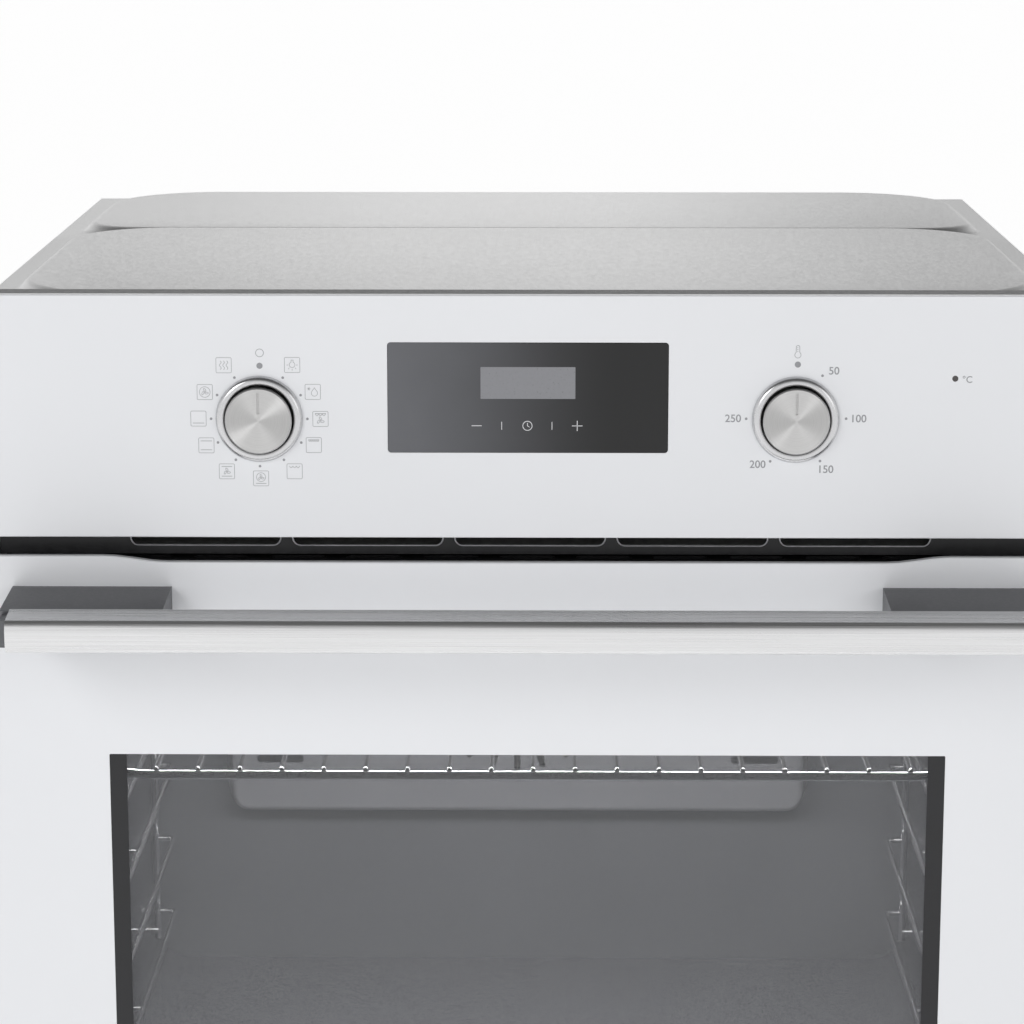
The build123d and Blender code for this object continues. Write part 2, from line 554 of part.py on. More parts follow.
# ================================================================ door hinges on the oven
CHEEK_INNER = (249.5, 252.5)
CHEEK_OUTER = (257.1, 260.1)
CHEEK_R = 5.0
with BuildPart() as hinge_receivers:
    both_sides(246, 261, 18.5, RECESS_DEPTH - FRAME_T, 10, 60)
    for inner, outer in (CHEEK_INNER, CHEEK_OUTER):
        both_sides(inner, outer, PIVOT, 18.5, PIVOT_Z - CHEEK_R, PIVOT_Z + CHEEK_R)
        both_sides(inner, outer, 8, 18.5, PIVOT_Z + CHEEK_R, PIVOT_Z + 14)
        for side in (-1, 1):
            low, high = sorted((side * inner, side * outer))
            cross_bar(PIVOT, PIVOT_Z, CHEEK_R, low, high)
            cross_bar(PIVOT, PIVOT_Z, PIN_R, low, high, Mode.SUBTRACT)
hinge_receivers.part.label = "hinge_receivers"
export_step(hinge_receivers.part, "parts/hinge_receivers.step")

with BuildPart() as hinge_pins:
    for side in (-1, 1):
        low, high = sorted((side * 248, side * 261))
        cross_bar(PIVOT, PIVOT_Z, PIN_R, low, high)
hinge_pins.part.label = "hinge_pins"
export_step(hinge_pins.part, "parts/hinge_pins.step")

# ================================================================ casing
CASE_HALF = CASE_W / 2
SIDE_IN = CASE_HALF - SHEET
BACK_FRONT = CASE_FLAT - SHEET
LOUVRE_W = 56.0
LOUVRE_H = 5.0
with BuildPart() as casing_base:
    block(-SIDE_IN, SIDE_IN, RECESS_DEPTH, BACK_FRONT, 0, SHEET)
    block(-SIDE_IN, SIDE_IN, RECESS_DEPTH, RECESS_DEPTH + SHEET, SHEET, 30)
    both_sides(SIDE_IN - SHEET, SIDE_IN, RECESS_DEPTH, BACK_FRONT, SHEET, 14)
    with BuildSketch(level_plane(0)):
        with Locations((0, 400)):
            with GridLocations(60, 14, 6, 5):
                SlotOverall(44, LOUVRE_H)
    extrude(amount=SHEET, mode=Mode.SUBTRACT)
casing_base.part.label = "casing_base"
export_step(casing_base.part, "parts/casing_base.step")

# The side sheets are notched at the bottom front, where the open door's lower edge swings in.
for name, side in (("casing_side_left", -1), ("casing_side_right", 1)):
    low, high = sorted((side * SIDE_IN, side * CASE_HALF))
    with BuildPart() as casing_side:
        block(low, high, 0, CASE_FLAT, 0, CASE_TOP - SHEET)
        block(low, high, 0, NOTCH_DEPTH, 0, NOTCH_Z, Mode.SUBTRACT)
        with BuildSketch(side_plane(low)):
            with Locations((440, 505)):
                with GridLocations(1, 11, 1, 9):
                    SlotOverall(LOUVRE_W, LOUVRE_H)
            with Locations((440, 70)):
                with GridLocations(1, 11, 1, 5):
                    SlotOverall(LOUVRE_W, LOUVRE_H)
        extrude(amount=SHEET, mode=Mode.SUBTRACT)
    casing_side.part.label = name
    export_step(casing_side.part, "parts/" + name + ".step")

FIELD_H = 6.0
FIELD_HALF = 260.6
FIELD_DRAFT = 40
FIELD_FOOT = 5.0


def raised_field(front, rear, front_corner, rear_corner, drop, mode):
    """Pressed field with drafted walls; drop lowers and shrinks it for the underside of the sheet."""
    half = FIELD_HALF + FIELD_FOOT - drop
    with BuildSketch(level_plane(CASE_TOP - drop)) as outline:
        with Locations((0, (front + rear) / 2)):
            Rectangle(2 * half, rear - front + 2 * (FIELD_FOOT - drop))
        fillet(outline.vertices().group_by(Axis.Y)[0], front_corner)
        fillet(outline.vertices().group_by(Axis.Y)[-1], rear_corner)
    extrude(outline.sketch, amount=FIELD_H, taper=FIELD_DRAFT, mode=mode)


FIELDS = ((42.0, 315.0, 70.0, 58.0), (323.0, 512.0, 36.0, 68.0))
with BuildPart() as casing_top_cover:
    block(-CASE_HALF, CASE_HALF, 0, CASE_FLAT, CASE_TOP - SHEET, CASE_TOP)
    for front, rear, front_corner, rear_corner in FIELDS:
        raised_field(front, rear, front_corner, rear_corner, 0, Mode.ADD)
    both_sides(SIDE_IN - SHEET, SIDE_IN, 2, BACK_FRONT, CASE_TOP - 18, CASE_TOP - SHEET)
    block(-SIDE_IN, SIDE_IN, BACK_FRONT - SHEET, BACK_FRONT, CASE_TOP - 18, CASE_TOP - SHEET)
    for front, rear, front_corner, rear_corner in FIELDS:
        raised_field(front, rear, front_corner, rear_corner, SHEET, Mode.SUBTRACT)
casing_top_cover.part.label = "casing_top_cover"
export_step(casing_top_cover.part, "parts/casing_top_cover.step")

GLAND_X = 215.0
with BuildPart() as casing_back:
    block(-SIDE_IN, SIDE_IN, BACK_FRONT, CASE_FLAT, SHEET, CASE_TOP - SHEET)
    disc(GLAND_X, 530, 8, BACK_FRONT, CASE_FLAT, Mode.SUBTRACT)
    with BuildSketch(front_plane(CASE_FLAT)):
        with Locations((-60, 515)):
            with GridLocations(56, 12, 5, 7):
                SlotOverall(44, LOUVRE_H)
        with Locations((0, 60)):
            with GridLocations(56, 12, 7, 4):
                SlotOverall(44, LOUVRE_H)
        with Locations((FAN_X, FAN_Z)):
            with GridLocations(56, 12, 3, 10):
                SlotOverall(44, LOUVRE_H)
    extrude(amount=SHEET, mode=Mode.SUBTRACT)
casing_back.part.label = "casing_back"
export_step(casing_back.part, "parts/casing_back.step")

COVER_W = 330.0
COVER_H = 300.0
COVER_R = 20.0
COVER_RIM = 12.0
with BuildPart() as rear_cover:
    with BuildSketch(front_plane(CASE_FLAT)):
        with Locations((FAN_X, FAN_Z)):
            RectangleRounded(COVER_W, COVER_H, COVER_R)
    extrude(amount=-(CASE_DEPTH - CASE_FLAT), taper=12)
    fillet(rear_cover.faces().sort_by(Axis.Y)[-1].edges(), 5)
    with BuildSketch(front_plane(CASE_FLAT)):
        with Locations((FAN_X, FAN_Z)):
            RectangleRounded(COVER_W - 2 * SHEET, COVER_H - 2 * SHEET, COVER_R - SHEET)
    extrude(amount=-(CASE_DEPTH - CASE_FLAT - SHEET), taper=12, mode=Mode.SUBTRACT)
    with BuildSketch(front_plane(CASE_FLAT + SHEET)):
        with Locations((FAN_X, FAN_Z)):
            RectangleRounded(COVER_W + 2 * COVER_RIM, COVER_H + 2 * COVER_RIM, COVER_R)
            RectangleRounded(COVER_W - 3 * SHEET, COVER_H - 3 * SHEET, COVER_R - SHEET,
                             mode=Mode.SUBTRACT)
    extrude(amount=SHEET)
    with BuildSketch(front_plane(CASE_DEPTH - 8)):
        with Locations((FAN_X, FAN_Z)):
            with GridLocations(70, 13, 3, 14):
                SlotOverall(54, LOUVRE_H)
    extrude(amount=-10, mode=Mode.SUBTRACT)
rear_cover.part.label = "rear_cover"
export_step(rear_cover.part, "parts/rear_cover.step")

# ---- mains connection
BOX_LOW = 488.0
BOX_HIGH = 548.0
with BuildPart() as terminal_box:
    block(GLAND_X - 38, GLAND_X + 38, CASE_FLAT, 543, BOX_LOW, BOX_HIGH)
    chamfer(terminal_box.edges().group_by(Axis.Y)[-1], 2)
    block(GLAND_X - 36, GLAND_X + 36, CASE_FLAT, 541, BOX_LOW + 2, BOX_HIGH - 2, Mode.SUBTRACT)
    post(GLAND_X, 530, 6, BOX_LOW, BOX_LOW + 2, Mode.SUBTRACT)
terminal_box.part.label = "terminal_box"
export_step(terminal_box.part, "parts/terminal_box.step")

with BuildPart() as terminal_block:
    block(GLAND_X - 24, GLAND_X + 24, CASE_FLAT, 533, 518, 536)
    for k in range(4):
        disc(GLAND_X - 18 + 12 * k, 527, 3, 530, 533, Mode.SUBTRACT)
terminal_block.part.label = "terminal_block"
export_step(terminal_block.part, "parts/terminal_block.step")

GLAND_BORE = 5.0
GLAND_LOW = 470.0
with BuildPart() as cable_gland:
    post(GLAND_X, 530, 6, BOX_LOW - 1, BOX_LOW + 4)
    post(GLAND_X, 530, 10, GLAND_LOW + 4, BOX_LOW)
    post(GLAND_X, 530, 8, GLAND_LOW, GLAND_LOW + 4)
    post(GLAND_X, 530, GLAND_BORE, GLAND_LOW, BOX_LOW + 4, Mode.SUBTRACT)
cable_gland.part.label = "cable_gland"
export_step(cable_gland.part, "parts/cable_gland.step")

SCREW_PLACES = ([(x, CASE_TOP - 10) for x in (-250, -85, 85, 250)] + [(x, 10) for x in (-250, -85, 85, 250)]
                + [(x, z) for x in (-268, 268) for z in (150, 300, 450)])
with BuildPart() as casing_screws:
    for x, z in SCREW_PLACES:
        disc(x, z, 3.8, CASE_FLAT, CASE_FLAT + 2.2)
        block(x - 0.5, x + 0.5, CASE_FLAT + 1.4, CASE_FLAT + 2.2, z - 2.6, z + 2.6, Mode.SUBTRACT)
        block(x - 2.6, x + 2.6, CASE_FLAT + 1.4, CASE_FLAT + 2.2, z - 0.5, z + 0.5, Mode.SUBTRACT)
casing_screws.part.label = "casing_screws"
export_step(casing_screws.part, "parts/casing_screws.step")

# ================================================================ door
HANDLE_Z = 441.0
HANDLE_SCREWS = [(side * x, HANDLE_Z) for side in (-1, 1) for x in (190.0, 233.0)]
HANDLE_HOLE_R = 3.0
STEP_IN = 176.0
STEP_OUT = 208.0


def door_pane(rear, thickness):
    """Sheet of the door's outline, whose top edge steps up at both ends, with the handle's holes."""
    with BuildSketch(front_plane(rear)) as outline:
        with BuildLine():
            Polyline((STEP_OUT, DOOR_END_TOP), (FRONT_W / 2, DOOR_END_TOP), (FRONT_W / 2, DOOR_LOW),
                     (-FRONT_W / 2, DOOR_LOW), (-FRONT_W / 2, DOOR_END_TOP), (-STEP_OUT, DOOR_END_TOP))
            Spline((-STEP_OUT, DOOR_END_TOP), (-STEP_IN, DOOR_MID_TOP), tangents=[(1, 0), (1, 0)])
            Line((-STEP_IN, DOOR_MID_TOP), (STEP_IN, DOOR_MID_TOP))
            Spline((STEP_IN, DOOR_MID_TOP), (STEP_OUT, DOOR_END_TOP), tangents=[(1, 0), (1, 0)])
        make_face()
        with Locations(*HANDLE_SCREWS):
            Circle(HANDLE_HOLE_R, mode=Mode.SUBTRACT)
    extrude(outline.sketch, amount=thickness)


with BuildPart() as door_outer_glass:
    door_pane(GLASS_BACK - PRINT_T, GLASS_T - PRINT_T)
    chamfer(door_outer_glass.faces().sort_by(Axis.Y)[0].outer_wire().edges(), 0.5)
door_outer_glass.part.label = "door_outer_glass"
export_step(door_outer_glass.part, "parts/door_outer_glass.step")

# The enamel print is fired onto the outer pane's inner face and leaves the window clear.
with BuildPart() as door_print:
    door_pane(GLASS_BACK, PRINT_T)
    block(-WINDOW_HALF, WINDOW_HALF, GLASS_BACK - PRINT_T, GLASS_BACK, WINDOW_LOW, WINDOW_TOP, Mode.SUBTRACT)
door_print.part.label = "door_print"
export_step(door_print.part, "parts/door_print.step")

MIDDLE_GLASS = (-3.0, 1.0)
MIDDLE_HALF = 240.0
MIDDLE_LOW = 50.0
MIDDLE_TOP = 452.0
with BuildPart() as door_middle_glass:
    block(-MIDDLE_HALF, MIDDLE_HALF, MIDDLE_GLASS[0], MIDDLE_GLASS[1], MIDDLE_LOW, MIDDLE_TOP)
door_middle_glass.part.label = "door_middle_glass"
export_step(door_middle_glass.part, "parts/door_middle_glass.step")

with BuildPart() as door_inner_glass:
    block(-DOOR_INNER_HALF, DOOR_INNER_HALF, INNER_GLASS_FRONT, INNER_GLASS_BACK, DOOR_INNER_LOW,
          DOOR_INNER_TOP - 4)
door_inner_glass.part.label = "door_inner_glass"
export_step(door_inner_glass.part, "parts/door_inner_glass.step")

RAIL_T = 1.2
RAIL_IN = 242.0
RAIL_OUT = DOOR_INNER_HALF
RAIL_TOP_Z = DOOR_INNER_TOP - 4
with BuildPart() as door_side_rails:
    both_sides(RAIL_OUT - RAIL_T, RAIL_OUT, GLASS_BACK, INNER_GLASS_FRONT, DOOR_INNER_LOW, RAIL_TOP_Z)
    both_sides(RAIL_IN, RAIL_OUT - RAIL_T, GLASS_BACK, GLASS_BACK + RAIL_T, DOOR_INNER_LOW, RAIL_TOP_Z)
    both_sides(RAIL_IN, RAIL_OUT - RAIL_T, INNER_GLASS_FRONT - RAIL_T, INNER_GLASS_FRONT, DOOR_INNER_LOW,
               RAIL_TOP_Z)
door_side_rails.part.label = "door_side_rails"
export_step(door_side_rails.part, "parts/door_side_rails.step")

with BuildPart() as door_top_rail:
    block(-RAIL_OUT, RAIL_OUT, GLASS_BACK, INNER_GLASS_BACK, RAIL_TOP_Z, DOOR_INNER_TOP)
    block(-240, 240, GLASS_BACK, GLASS_BACK + 2, RAIL_TOP_Z - 24, RAIL_TOP_Z)
    for x, z in HANDLE_SCREWS:
        disc(x, z, 5.6, GLASS_BACK, GLASS_BACK + 2, Mode.SUBTRACT)
    with BuildSketch(level_plane(RAIL_TOP_Z)):
        with Locations((0, 5)):
            with GridLocations(38, 1, 13, 1):
                SlotOverall(28, 7)
    extrude(amount=4, mode=Mode.SUBTRACT)
door_top_rail.part.label = "door_top_rail"
export_step(door_top_rail.part, "parts/door_top_rail.step")

SILL_HALF = RAIL_IN - 0.1
with BuildPart() as door_bottom_rail:
    block(-SILL_HALF, SILL_HALF, GLASS_BACK, INNER_GLASS_FRONT, DOOR_INNER_LOW, DOOR_INNER_LOW + RAIL_T)
    block(-SILL_HALF, SILL_HALF, GLASS_BACK, GLASS_BACK + RAIL_T, DOOR_INNER_LOW, DOOR_INNER_LOW + 14)
    block(-SILL_HALF, SILL_HALF, INNER_GLASS_FRONT - RAIL_T, INNER_GLASS_FRONT, DOOR_INNER_LOW,
          DOOR_INNER_LOW + 14)
door_bottom_rail.part.label = "door_bottom_rail"
export_step(door_bottom_rail.part, "parts/door_bottom_rail.step")

# Corner clips hold the middle pane between the side rails.
with BuildPart() as pane_clips:
    for low in (DOOR_INNER_LOW + RAIL_T, 440):
        both_sides(226, SILL_HALF, MIDDLE_GLASS[0] - 3, MIDDLE_GLASS[1] + 3, low, low + 15)
    both_sides(200, MIDDLE_HALF, MIDDLE_GLASS[0], MIDDLE_GLASS[1], MIDDLE_LOW, MIDDLE_TOP, Mode.SUBTRACT)
pane_clips.part.label = "pane_clips"
export_step(pane_clips.part, "parts/pane_clips.step")

ARM_X = (252.8, 256.8)
ARM_TOP = 170.0
with BuildPart() as hinge_arms:
    both_sides(ARM_X[0], ARM_X[1], PIVOT - CHEEK_R, PIVOT + CHEEK_R, PIVOT_Z, ARM_TOP)
    for side in (-1, 1):
        low, high = sorted((side * ARM_X[0], side * ARM_X[1]))
        cross_bar(PIVOT, PIVOT_Z, CHEEK_R, low, high)
        cross_bar(PIVOT, PIVOT_Z, PIN_R + RUN_FIT, low, high, Mode.SUBTRACT)
hinge_arms.part.label = "hinge_arms"
export_step(hinge_arms.part, "parts/hinge_arms.step")

# ---- handle
with BuildPart() as handle_bar:
    with BuildSketch(side_plane(-BAR_HALF)):
        with BuildLine():
            Polyline((BAR_BACK, 449.3), (-77.0, 447.4))
            Spline((-77.0, 447.4), (-79.1, 444.6), (-HANDLE_OUT, 440.0), (-78.9, 434.6), (-77.2, 431.8))
            Polyline((-77.2, 431.8), (-75.6, 431.3), (BAR_BACK, 431.3), (BAR_BACK, 449.3))
        make_face()
    extrude(amount=2 * BAR_HALF)
handle_bar.part.label = "handle_bar"
export_step(handle_bar.part, "parts/handle_bar.step")

for name, side in (("handle_bracket_left", -1), ("handle_bracket_right", 1)):
    low, high = sorted((side * BRACKET_INNER, side * BRACKET_OUTER))
    with BuildPart() as bracket:
        with BuildSketch(side_plane(low)):
            with BuildLine():
                Polyline((FACE, 433.4), (FACE, 450.6), (-24, 450.6), (BAR_BACK, 448.4), (BAR_BACK, 433.4),
                         (FACE, 433.4))
            make_face()
        extrude(amount=high - low)
        chamfer(bracket.edges().filter_by(Axis.Z).group_by(Axis.Y)[0], 1.2)
        cap_low, cap_high = sorted((side * BAR_HALF, side * (BRACKET_OUTER - 1.6)))
        block(cap_low, cap_high, -76.5, BAR_BACK + 2, 434, 447)
        for x, z in HANDLE_SCREWS:
            disc(x, z, 2.5, -36, FACE, Mode.SUBTRACT)
    bracket.part.label = name
    export_step(bracket.part, "parts/" + name + ".step")

with BuildPart() as handle_screws:
    for x, z in HANDLE_SCREWS:
        disc(x, z, 2.5, -35, GLASS_BACK)
        disc(x, z, 5, GLASS_BACK, GLASS_BACK + 3)
        block(x - 0.6, x + 0.6, GLASS_BACK + 2, GLASS_BACK + 3, z - 3.4, z + 3.4, Mode.SUBTRACT)
handle_screws.part.label = "handle_screws"
export_step(handle_screws.part, "parts/handle_screws.step")
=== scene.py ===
"""A white built-in wall oven: materials, printed marks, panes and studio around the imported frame."""

import json
import math

import bmesh
import bpy
from mathutils import Matrix, Vector


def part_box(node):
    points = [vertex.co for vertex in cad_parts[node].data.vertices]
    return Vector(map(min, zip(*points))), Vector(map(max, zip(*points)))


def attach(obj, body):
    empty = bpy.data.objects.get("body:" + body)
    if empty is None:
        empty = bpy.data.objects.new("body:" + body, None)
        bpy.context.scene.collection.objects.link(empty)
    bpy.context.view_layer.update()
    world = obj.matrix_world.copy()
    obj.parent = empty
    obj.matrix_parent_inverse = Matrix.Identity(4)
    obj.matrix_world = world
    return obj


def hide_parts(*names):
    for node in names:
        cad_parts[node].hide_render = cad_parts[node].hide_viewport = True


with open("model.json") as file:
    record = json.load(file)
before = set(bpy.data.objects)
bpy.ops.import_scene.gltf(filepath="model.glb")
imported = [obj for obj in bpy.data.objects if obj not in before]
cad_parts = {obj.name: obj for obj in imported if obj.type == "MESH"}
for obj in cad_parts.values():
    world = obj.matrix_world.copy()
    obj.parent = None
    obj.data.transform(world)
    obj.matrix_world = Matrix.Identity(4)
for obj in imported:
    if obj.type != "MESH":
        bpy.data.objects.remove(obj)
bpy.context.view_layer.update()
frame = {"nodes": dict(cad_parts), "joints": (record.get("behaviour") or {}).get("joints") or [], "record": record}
nodes = frame["nodes"]
mounts = {m["name"]: m for m in frame["record"]["mounts"]}
joints = {j["name"]: j for j in frame["joints"]}

MM = 0.001
FLANGE_Y = mounts["cabinet_screws"]["pos_m"][1]
# front face of the panel and of the door; depths are millimetres behind the flange plane, so it is negative
FACE = round((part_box("panel_glass")[0][1] - FLANGE_Y) / MM, 2)
WELD = 2e-6  # metres within which a copied mesh's points are one


# ---------------------------------------------------------------- mesh helpers
def spot(x, depth, z):
    """Point given in millimetres: width, depth behind the flange plane, height."""
    return Vector((x * MM, FLANGE_Y + depth * MM, z * MM))


def add_object(name, mesh, body, material):
    """Puts a mesh in the scene as a piece that rides on a body."""
    piece = bpy.data.objects.new(name, mesh)
    bpy.context.scene.collection.objects.link(piece)
    piece.data.materials.clear()
    piece.data.materials.append(material)
    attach(piece, body)
    return piece


def mesh_from(bm, name, smooth=False):
    """Turns a bmesh into a mesh with outward normals."""
    bmesh.ops.recalc_face_normals(bm, faces=bm.faces)
    mesh = bpy.data.meshes.new(name)
    bm.to_mesh(mesh)
    bm.free()
    for face in mesh.polygons:
        face.use_smooth = smooth
    return mesh


def ribbon(bm, points, width, depth, closed=False):
    """Flat printed line on a front plane, mitred at its corners; points are (x, z) in millimetres."""
    flat = [Vector((x, z)) for x, z in points]
    count = len(flat)
    left, right = [], []
    for i, here in enumerate(flat):
        before = flat[i - 1] if (i > 0 or closed) else None
        after = flat[(i + 1) % count] if (i < count - 1 or closed) else None
        sides = []
        if before is not None:
            sides.append((here - before).normalized())
        if after is not None:
            sides.append((after - here).normalized())
        along = sum(sides, Vector((0, 0))).normalized()
        across = Vector((-along.y, along.x))
        reach = width / 2 / max(0.4, along.dot(sides[0]))
        if before is None:
            here = here - along * width / 2
        if after is None:
            here = here + along * width / 2
        left.append(bm.verts.new(spot(here.x + across.x * reach, depth, here.y + across.y * reach)))
        right.append(bm.verts.new(spot(here.x - across.x * reach, depth, here.y - across.y * reach)))
    for i in range(count if closed else count - 1):
        j = (i + 1) % count
        bm.faces.new((left[i], left[j], right[j], right[i]))


def dot(bm, x, z, radius, depth, sides=28):
    """Flat printed disc on a front plane."""
    rim = []
    for i in range(sides):
        turn = 2 * math.pi * i / sides
        rim.append(bm.verts.new(spot(x + radius * math.cos(turn), depth, z + radius * math.sin(turn))))
    bm.faces.new(rim)


def arc(x, z, radius, start, end, steps=20):
    """Points on a circular arc, in degrees anticlockwise from +X."""
    turns = [math.radians(start + (end - start) * i / steps) for i in range(steps + 1)]
    return [(x + radius * math.cos(t), z + radius * math.sin(t)) for t in turns]


def rounded_outline(x_min, x_max, z_min, z_max, corner, steps=8):
    """Closed outline of a rectangle with rounded corners."""
    outline = []
    outline += arc(x_max - corner, z_max - corner, corner, 0, 90, steps)
    outline += arc(x_min + corner, z_max - corner, corner, 90, 180, steps)
    outline += arc(x_min + corner, z_min + corner, corner, 180, 270, steps)
    outline += arc(x_max - corner, z_min + corner, corner, 270, 360, steps)
    return outline


def plate(bm, outline, front, rear):
    """Solid plate between two depths from a closed outline."""
    near = [bm.verts.new(spot(x, front, z)) for x, z in outline]
    far = [bm.verts.new(spot(x, rear, z)) for x, z in outline]
    bm.faces.new(near)
    bm.faces.new(list(reversed(far)))
    for i in range(len(outline)):
        j = (i + 1) % len(outline)
        bm.faces.new((near[j], near[i], far[i], far[j]))


def bead(bm, points, radius, sides=8):
    """Thin round bead along points."""
    rings = []
    for i, here in enumerate(points):
        before = points[max(i - 1, 0)]
        after = points[min(i + 1, len(points) - 1)]
        along = (after - before).normalized()
        across = along.cross(Vector((0, 1, 0))).normalized()
        up = across.cross(along)
        ring = []
        for k in range(sides):
            turn = 2 * math.pi * k / sides
            ring.append(bm.verts.new(here + (across * math.cos(turn) + up * math.sin(turn)) * radius))
        rings.append(ring)
    for a, b in zip(rings, rings[1:]):
        for k in range(sides):
            m = (k + 1) % sides
            bm.faces.new((a[k], a[m], b[m], b[k]))
    bm.faces.new(list(reversed(rings[0])))
    bm.faces.new(rings[-1])


# ---------------------------------------------------------------- materials
NOISE_LOW, NOISE_HIGH = 0.3, 0.7  # nearly all of a noise texture's values lie between these
BUMP_DEPTH = 0.0004


def map_range(tree, value, low, high, start, end, shape="LINEAR"):
    """Maps a socket's value from one range to another."""
    node = tree.nodes.new("ShaderNodeMapRange")
    node.interpolation_type = shape
    node.inputs["From Min"].default_value = low
    node.inputs["From Max"].default_value = high
    node.inputs["To Min"].default_value = start
    node.inputs["To Max"].default_value = end
    tree.links.new(value, node.inputs["Value"])
    return node.outputs["Result"]


def scale_colour(material, factor):
    """Multiplies a material's base colour by a socket's value."""
    tree = material.node_tree
    base = tree.nodes["Principled BSDF"].inputs["Base Color"]
    blend = tree.nodes.new("ShaderNodeVectorMath")
    blend.operation = "SCALE"
    tree.links.new(base.links[0].from_socket, blend.inputs[0])
    tree.links.new(factor, blend.inputs["Scale"])
    tree.links.new(blend.outputs["Vector"], base)


def surface(name, colour, metallic=0.0, rough=0.4, tone=0.05, grain=90, stretch=(1, 1, 1), rough_vary=0.06,
            bump=0.0, bump_grain=1200, coat=0.0, coat_rough=0.03, alpha=1.0, anisotropy=0.0, radial=None,
            specular=0.5, sheen=0.0):
    """Procedural material: tone and roughness follow one noise, fine bump follows another."""
    material = bpy.data.materials.new(name)
    material.use_nodes = True
    tree = material.node_tree
    shader = tree.nodes["Principled BSDF"]
    shader.inputs["Metallic"].default_value = metallic
    shader.inputs["Specular IOR Level"].default_value = specular
    shader.inputs["Coat Weight"].default_value = coat
    shader.inputs["Coat Roughness"].default_value = coat_rough
    shader.inputs["Alpha"].default_value = alpha
    shader.inputs["Anisotropic"].default_value = anisotropy
    shader.inputs["Sheen Weight"].default_value = sheen

    coords = tree.nodes.new("ShaderNodeTexCoord")
    mapping = tree.nodes.new("ShaderNodeMapping")
    mapping.inputs["Scale"].default_value = stretch
    tree.links.new(coords.outputs["Object"], mapping.inputs["Vector"])
    cloud = tree.nodes.new("ShaderNodeTexNoise")
    cloud.inputs["Scale"].default_value = grain
    cloud.inputs["Detail"].default_value = 5
    tree.links.new(mapping.outputs["Vector"], cloud.inputs["Vector"])

    ramp = tree.nodes.new("ShaderNodeValToRGB")
    ramp.color_ramp.elements[0].position = NOISE_LOW
    ramp.color_ramp.elements[1].position = NOISE_HIGH
    ramp.color_ramp.elements[0].color = [min(1, c * (1 - tone)) for c in colour] + [1]
    ramp.color_ramp.elements[1].color = [min(1, c * (1 + tone)) for c in colour] + [1]
    tree.links.new(cloud.outputs["Fac"], ramp.inputs["Fac"])
    tree.links.new(ramp.outputs["Color"], shader.inputs["Base Color"])

    spread = map_range(tree, cloud.outputs["Fac"], NOISE_LOW, NOISE_HIGH,
                       max(0.0, rough - rough_vary), min(1.0, rough + rough_vary))
    tree.links.new(spread, shader.inputs["Roughness"])

    if bump:
        fine = tree.nodes.new("ShaderNodeTexNoise")
        fine.inputs["Scale"].default_value = bump_grain
        fine.inputs["Detail"].default_value = 3
        tree.links.new(mapping.outputs["Vector"], fine.inputs["Vector"])
        relief = tree.nodes.new("ShaderNodeBump")
        relief.inputs["Strength"].default_value = bump
        relief.inputs["Distance"].default_value = BUMP_DEPTH
        tree.links.new(fine.outputs["Fac"], relief.inputs["Height"])
        tree.links.new(relief.outputs["Normal"], shader.inputs["Normal"])
    if radial:
        tangent = tree.nodes.new("ShaderNodeTangent")
        tangent.direction_type = "RADIAL"
        tangent.axis = radial
        tree.links.new(tangent.outputs["Tangent"], shader.inputs["Tangent"])
    return material


def painted_light_ramp(material, axis, low, high, start, end):
    """Multiplies the colour by a slow ramp along one axis of the object, in metres; this paints light and shade
    into the colour.
    """
    tree = material.node_tree
    coords = tree.nodes.new("ShaderNodeTexCoord")
    parts = tree.nodes.new("ShaderNodeSeparateXYZ")
    tree.links.new(coords.outputs["Object"], parts.inputs["Vector"])
    scale_colour(material, map_range(tree, parts.outputs[axis], low, high, start, end, "SMOOTHSTEP"))


def turned_rings(material, density, amount):
    """Fine concentric lines about Y through the middle of the mesh's box, as a lathe leaves them."""
    tree = material.node_tree
    coords = tree.nodes.new("ShaderNodeTexCoord")
    centre = tree.nodes.new("ShaderNodeVectorMath")
    centre.operation = "SUBTRACT"
    centre.inputs[1].default_value = (0.5, 0.5, 0.5)
    tree.links.new(coords.outputs["Generated"], centre.inputs[0])
    flat = tree.nodes.new("ShaderNodeVectorMath")
    flat.operation = "MULTIPLY"
    flat.inputs[1].default_value = (1, 0, 1)
    tree.links.new(centre.outputs["Vector"], flat.inputs[0])
    radius = tree.nodes.new("ShaderNodeVectorMath")
    radius.operation = "LENGTH"
    tree.links.new(flat.outputs["Vector"], radius.inputs[0])
    lines = tree.nodes.new("ShaderNodeTexNoise")
    lines.noise_dimensions = "1D"
    lines.inputs["Scale"].default_value = density
    lines.inputs["Detail"].default_value = 2
    tree.links.new(radius.outputs["Value"], lines.inputs["W"])
    tone = map_range(tree, lines.outputs["Fac"], NOISE_LOW, NOISE_HIGH, 1 - amount, 1 + amount)
    scale_colour(material, tone)


WHITE = (0.79, 0.80, 0.825)
white_glass = surface("white_glass", WHITE, rough=0.32, tone=0.006, grain=14, rough_vary=0.02,
                      bump=0.01, bump_grain=300, coat=0.5, coat_rough=0.16)
edge_glass = surface("edge_glass", WHITE, rough=0.2, tone=0.01, grain=40, rough_vary=0.03,
                     bump=0.02, bump_grain=500, coat=1.0, coat_rough=0.02)
black_glass = surface("black_glass", (0.12, 0.123, 0.135), rough=0.5, tone=0.05, grain=30, rough_vary=0.03,
                      coat=0.7, coat_rough=0.12, specular=0.1)
screen_glass = surface("screen_glass", (0.2, 0.203, 0.22), rough=0.3, tone=0.03, grain=900, rough_vary=0.03,
                       coat=1.0, coat_rough=0.12)
window_glass = surface("window_glass", (0.3, 0.305, 0.32), rough=0.12, tone=0.05, grain=25,
                       rough_vary=0.02, alpha=0.12, specular=0.9)
inner_glass = surface("inner_glass", (0.3, 0.31, 0.32), rough=0.08, tone=0.05, grain=25,
                      rough_vary=0.03, alpha=0.04, specular=0.9)
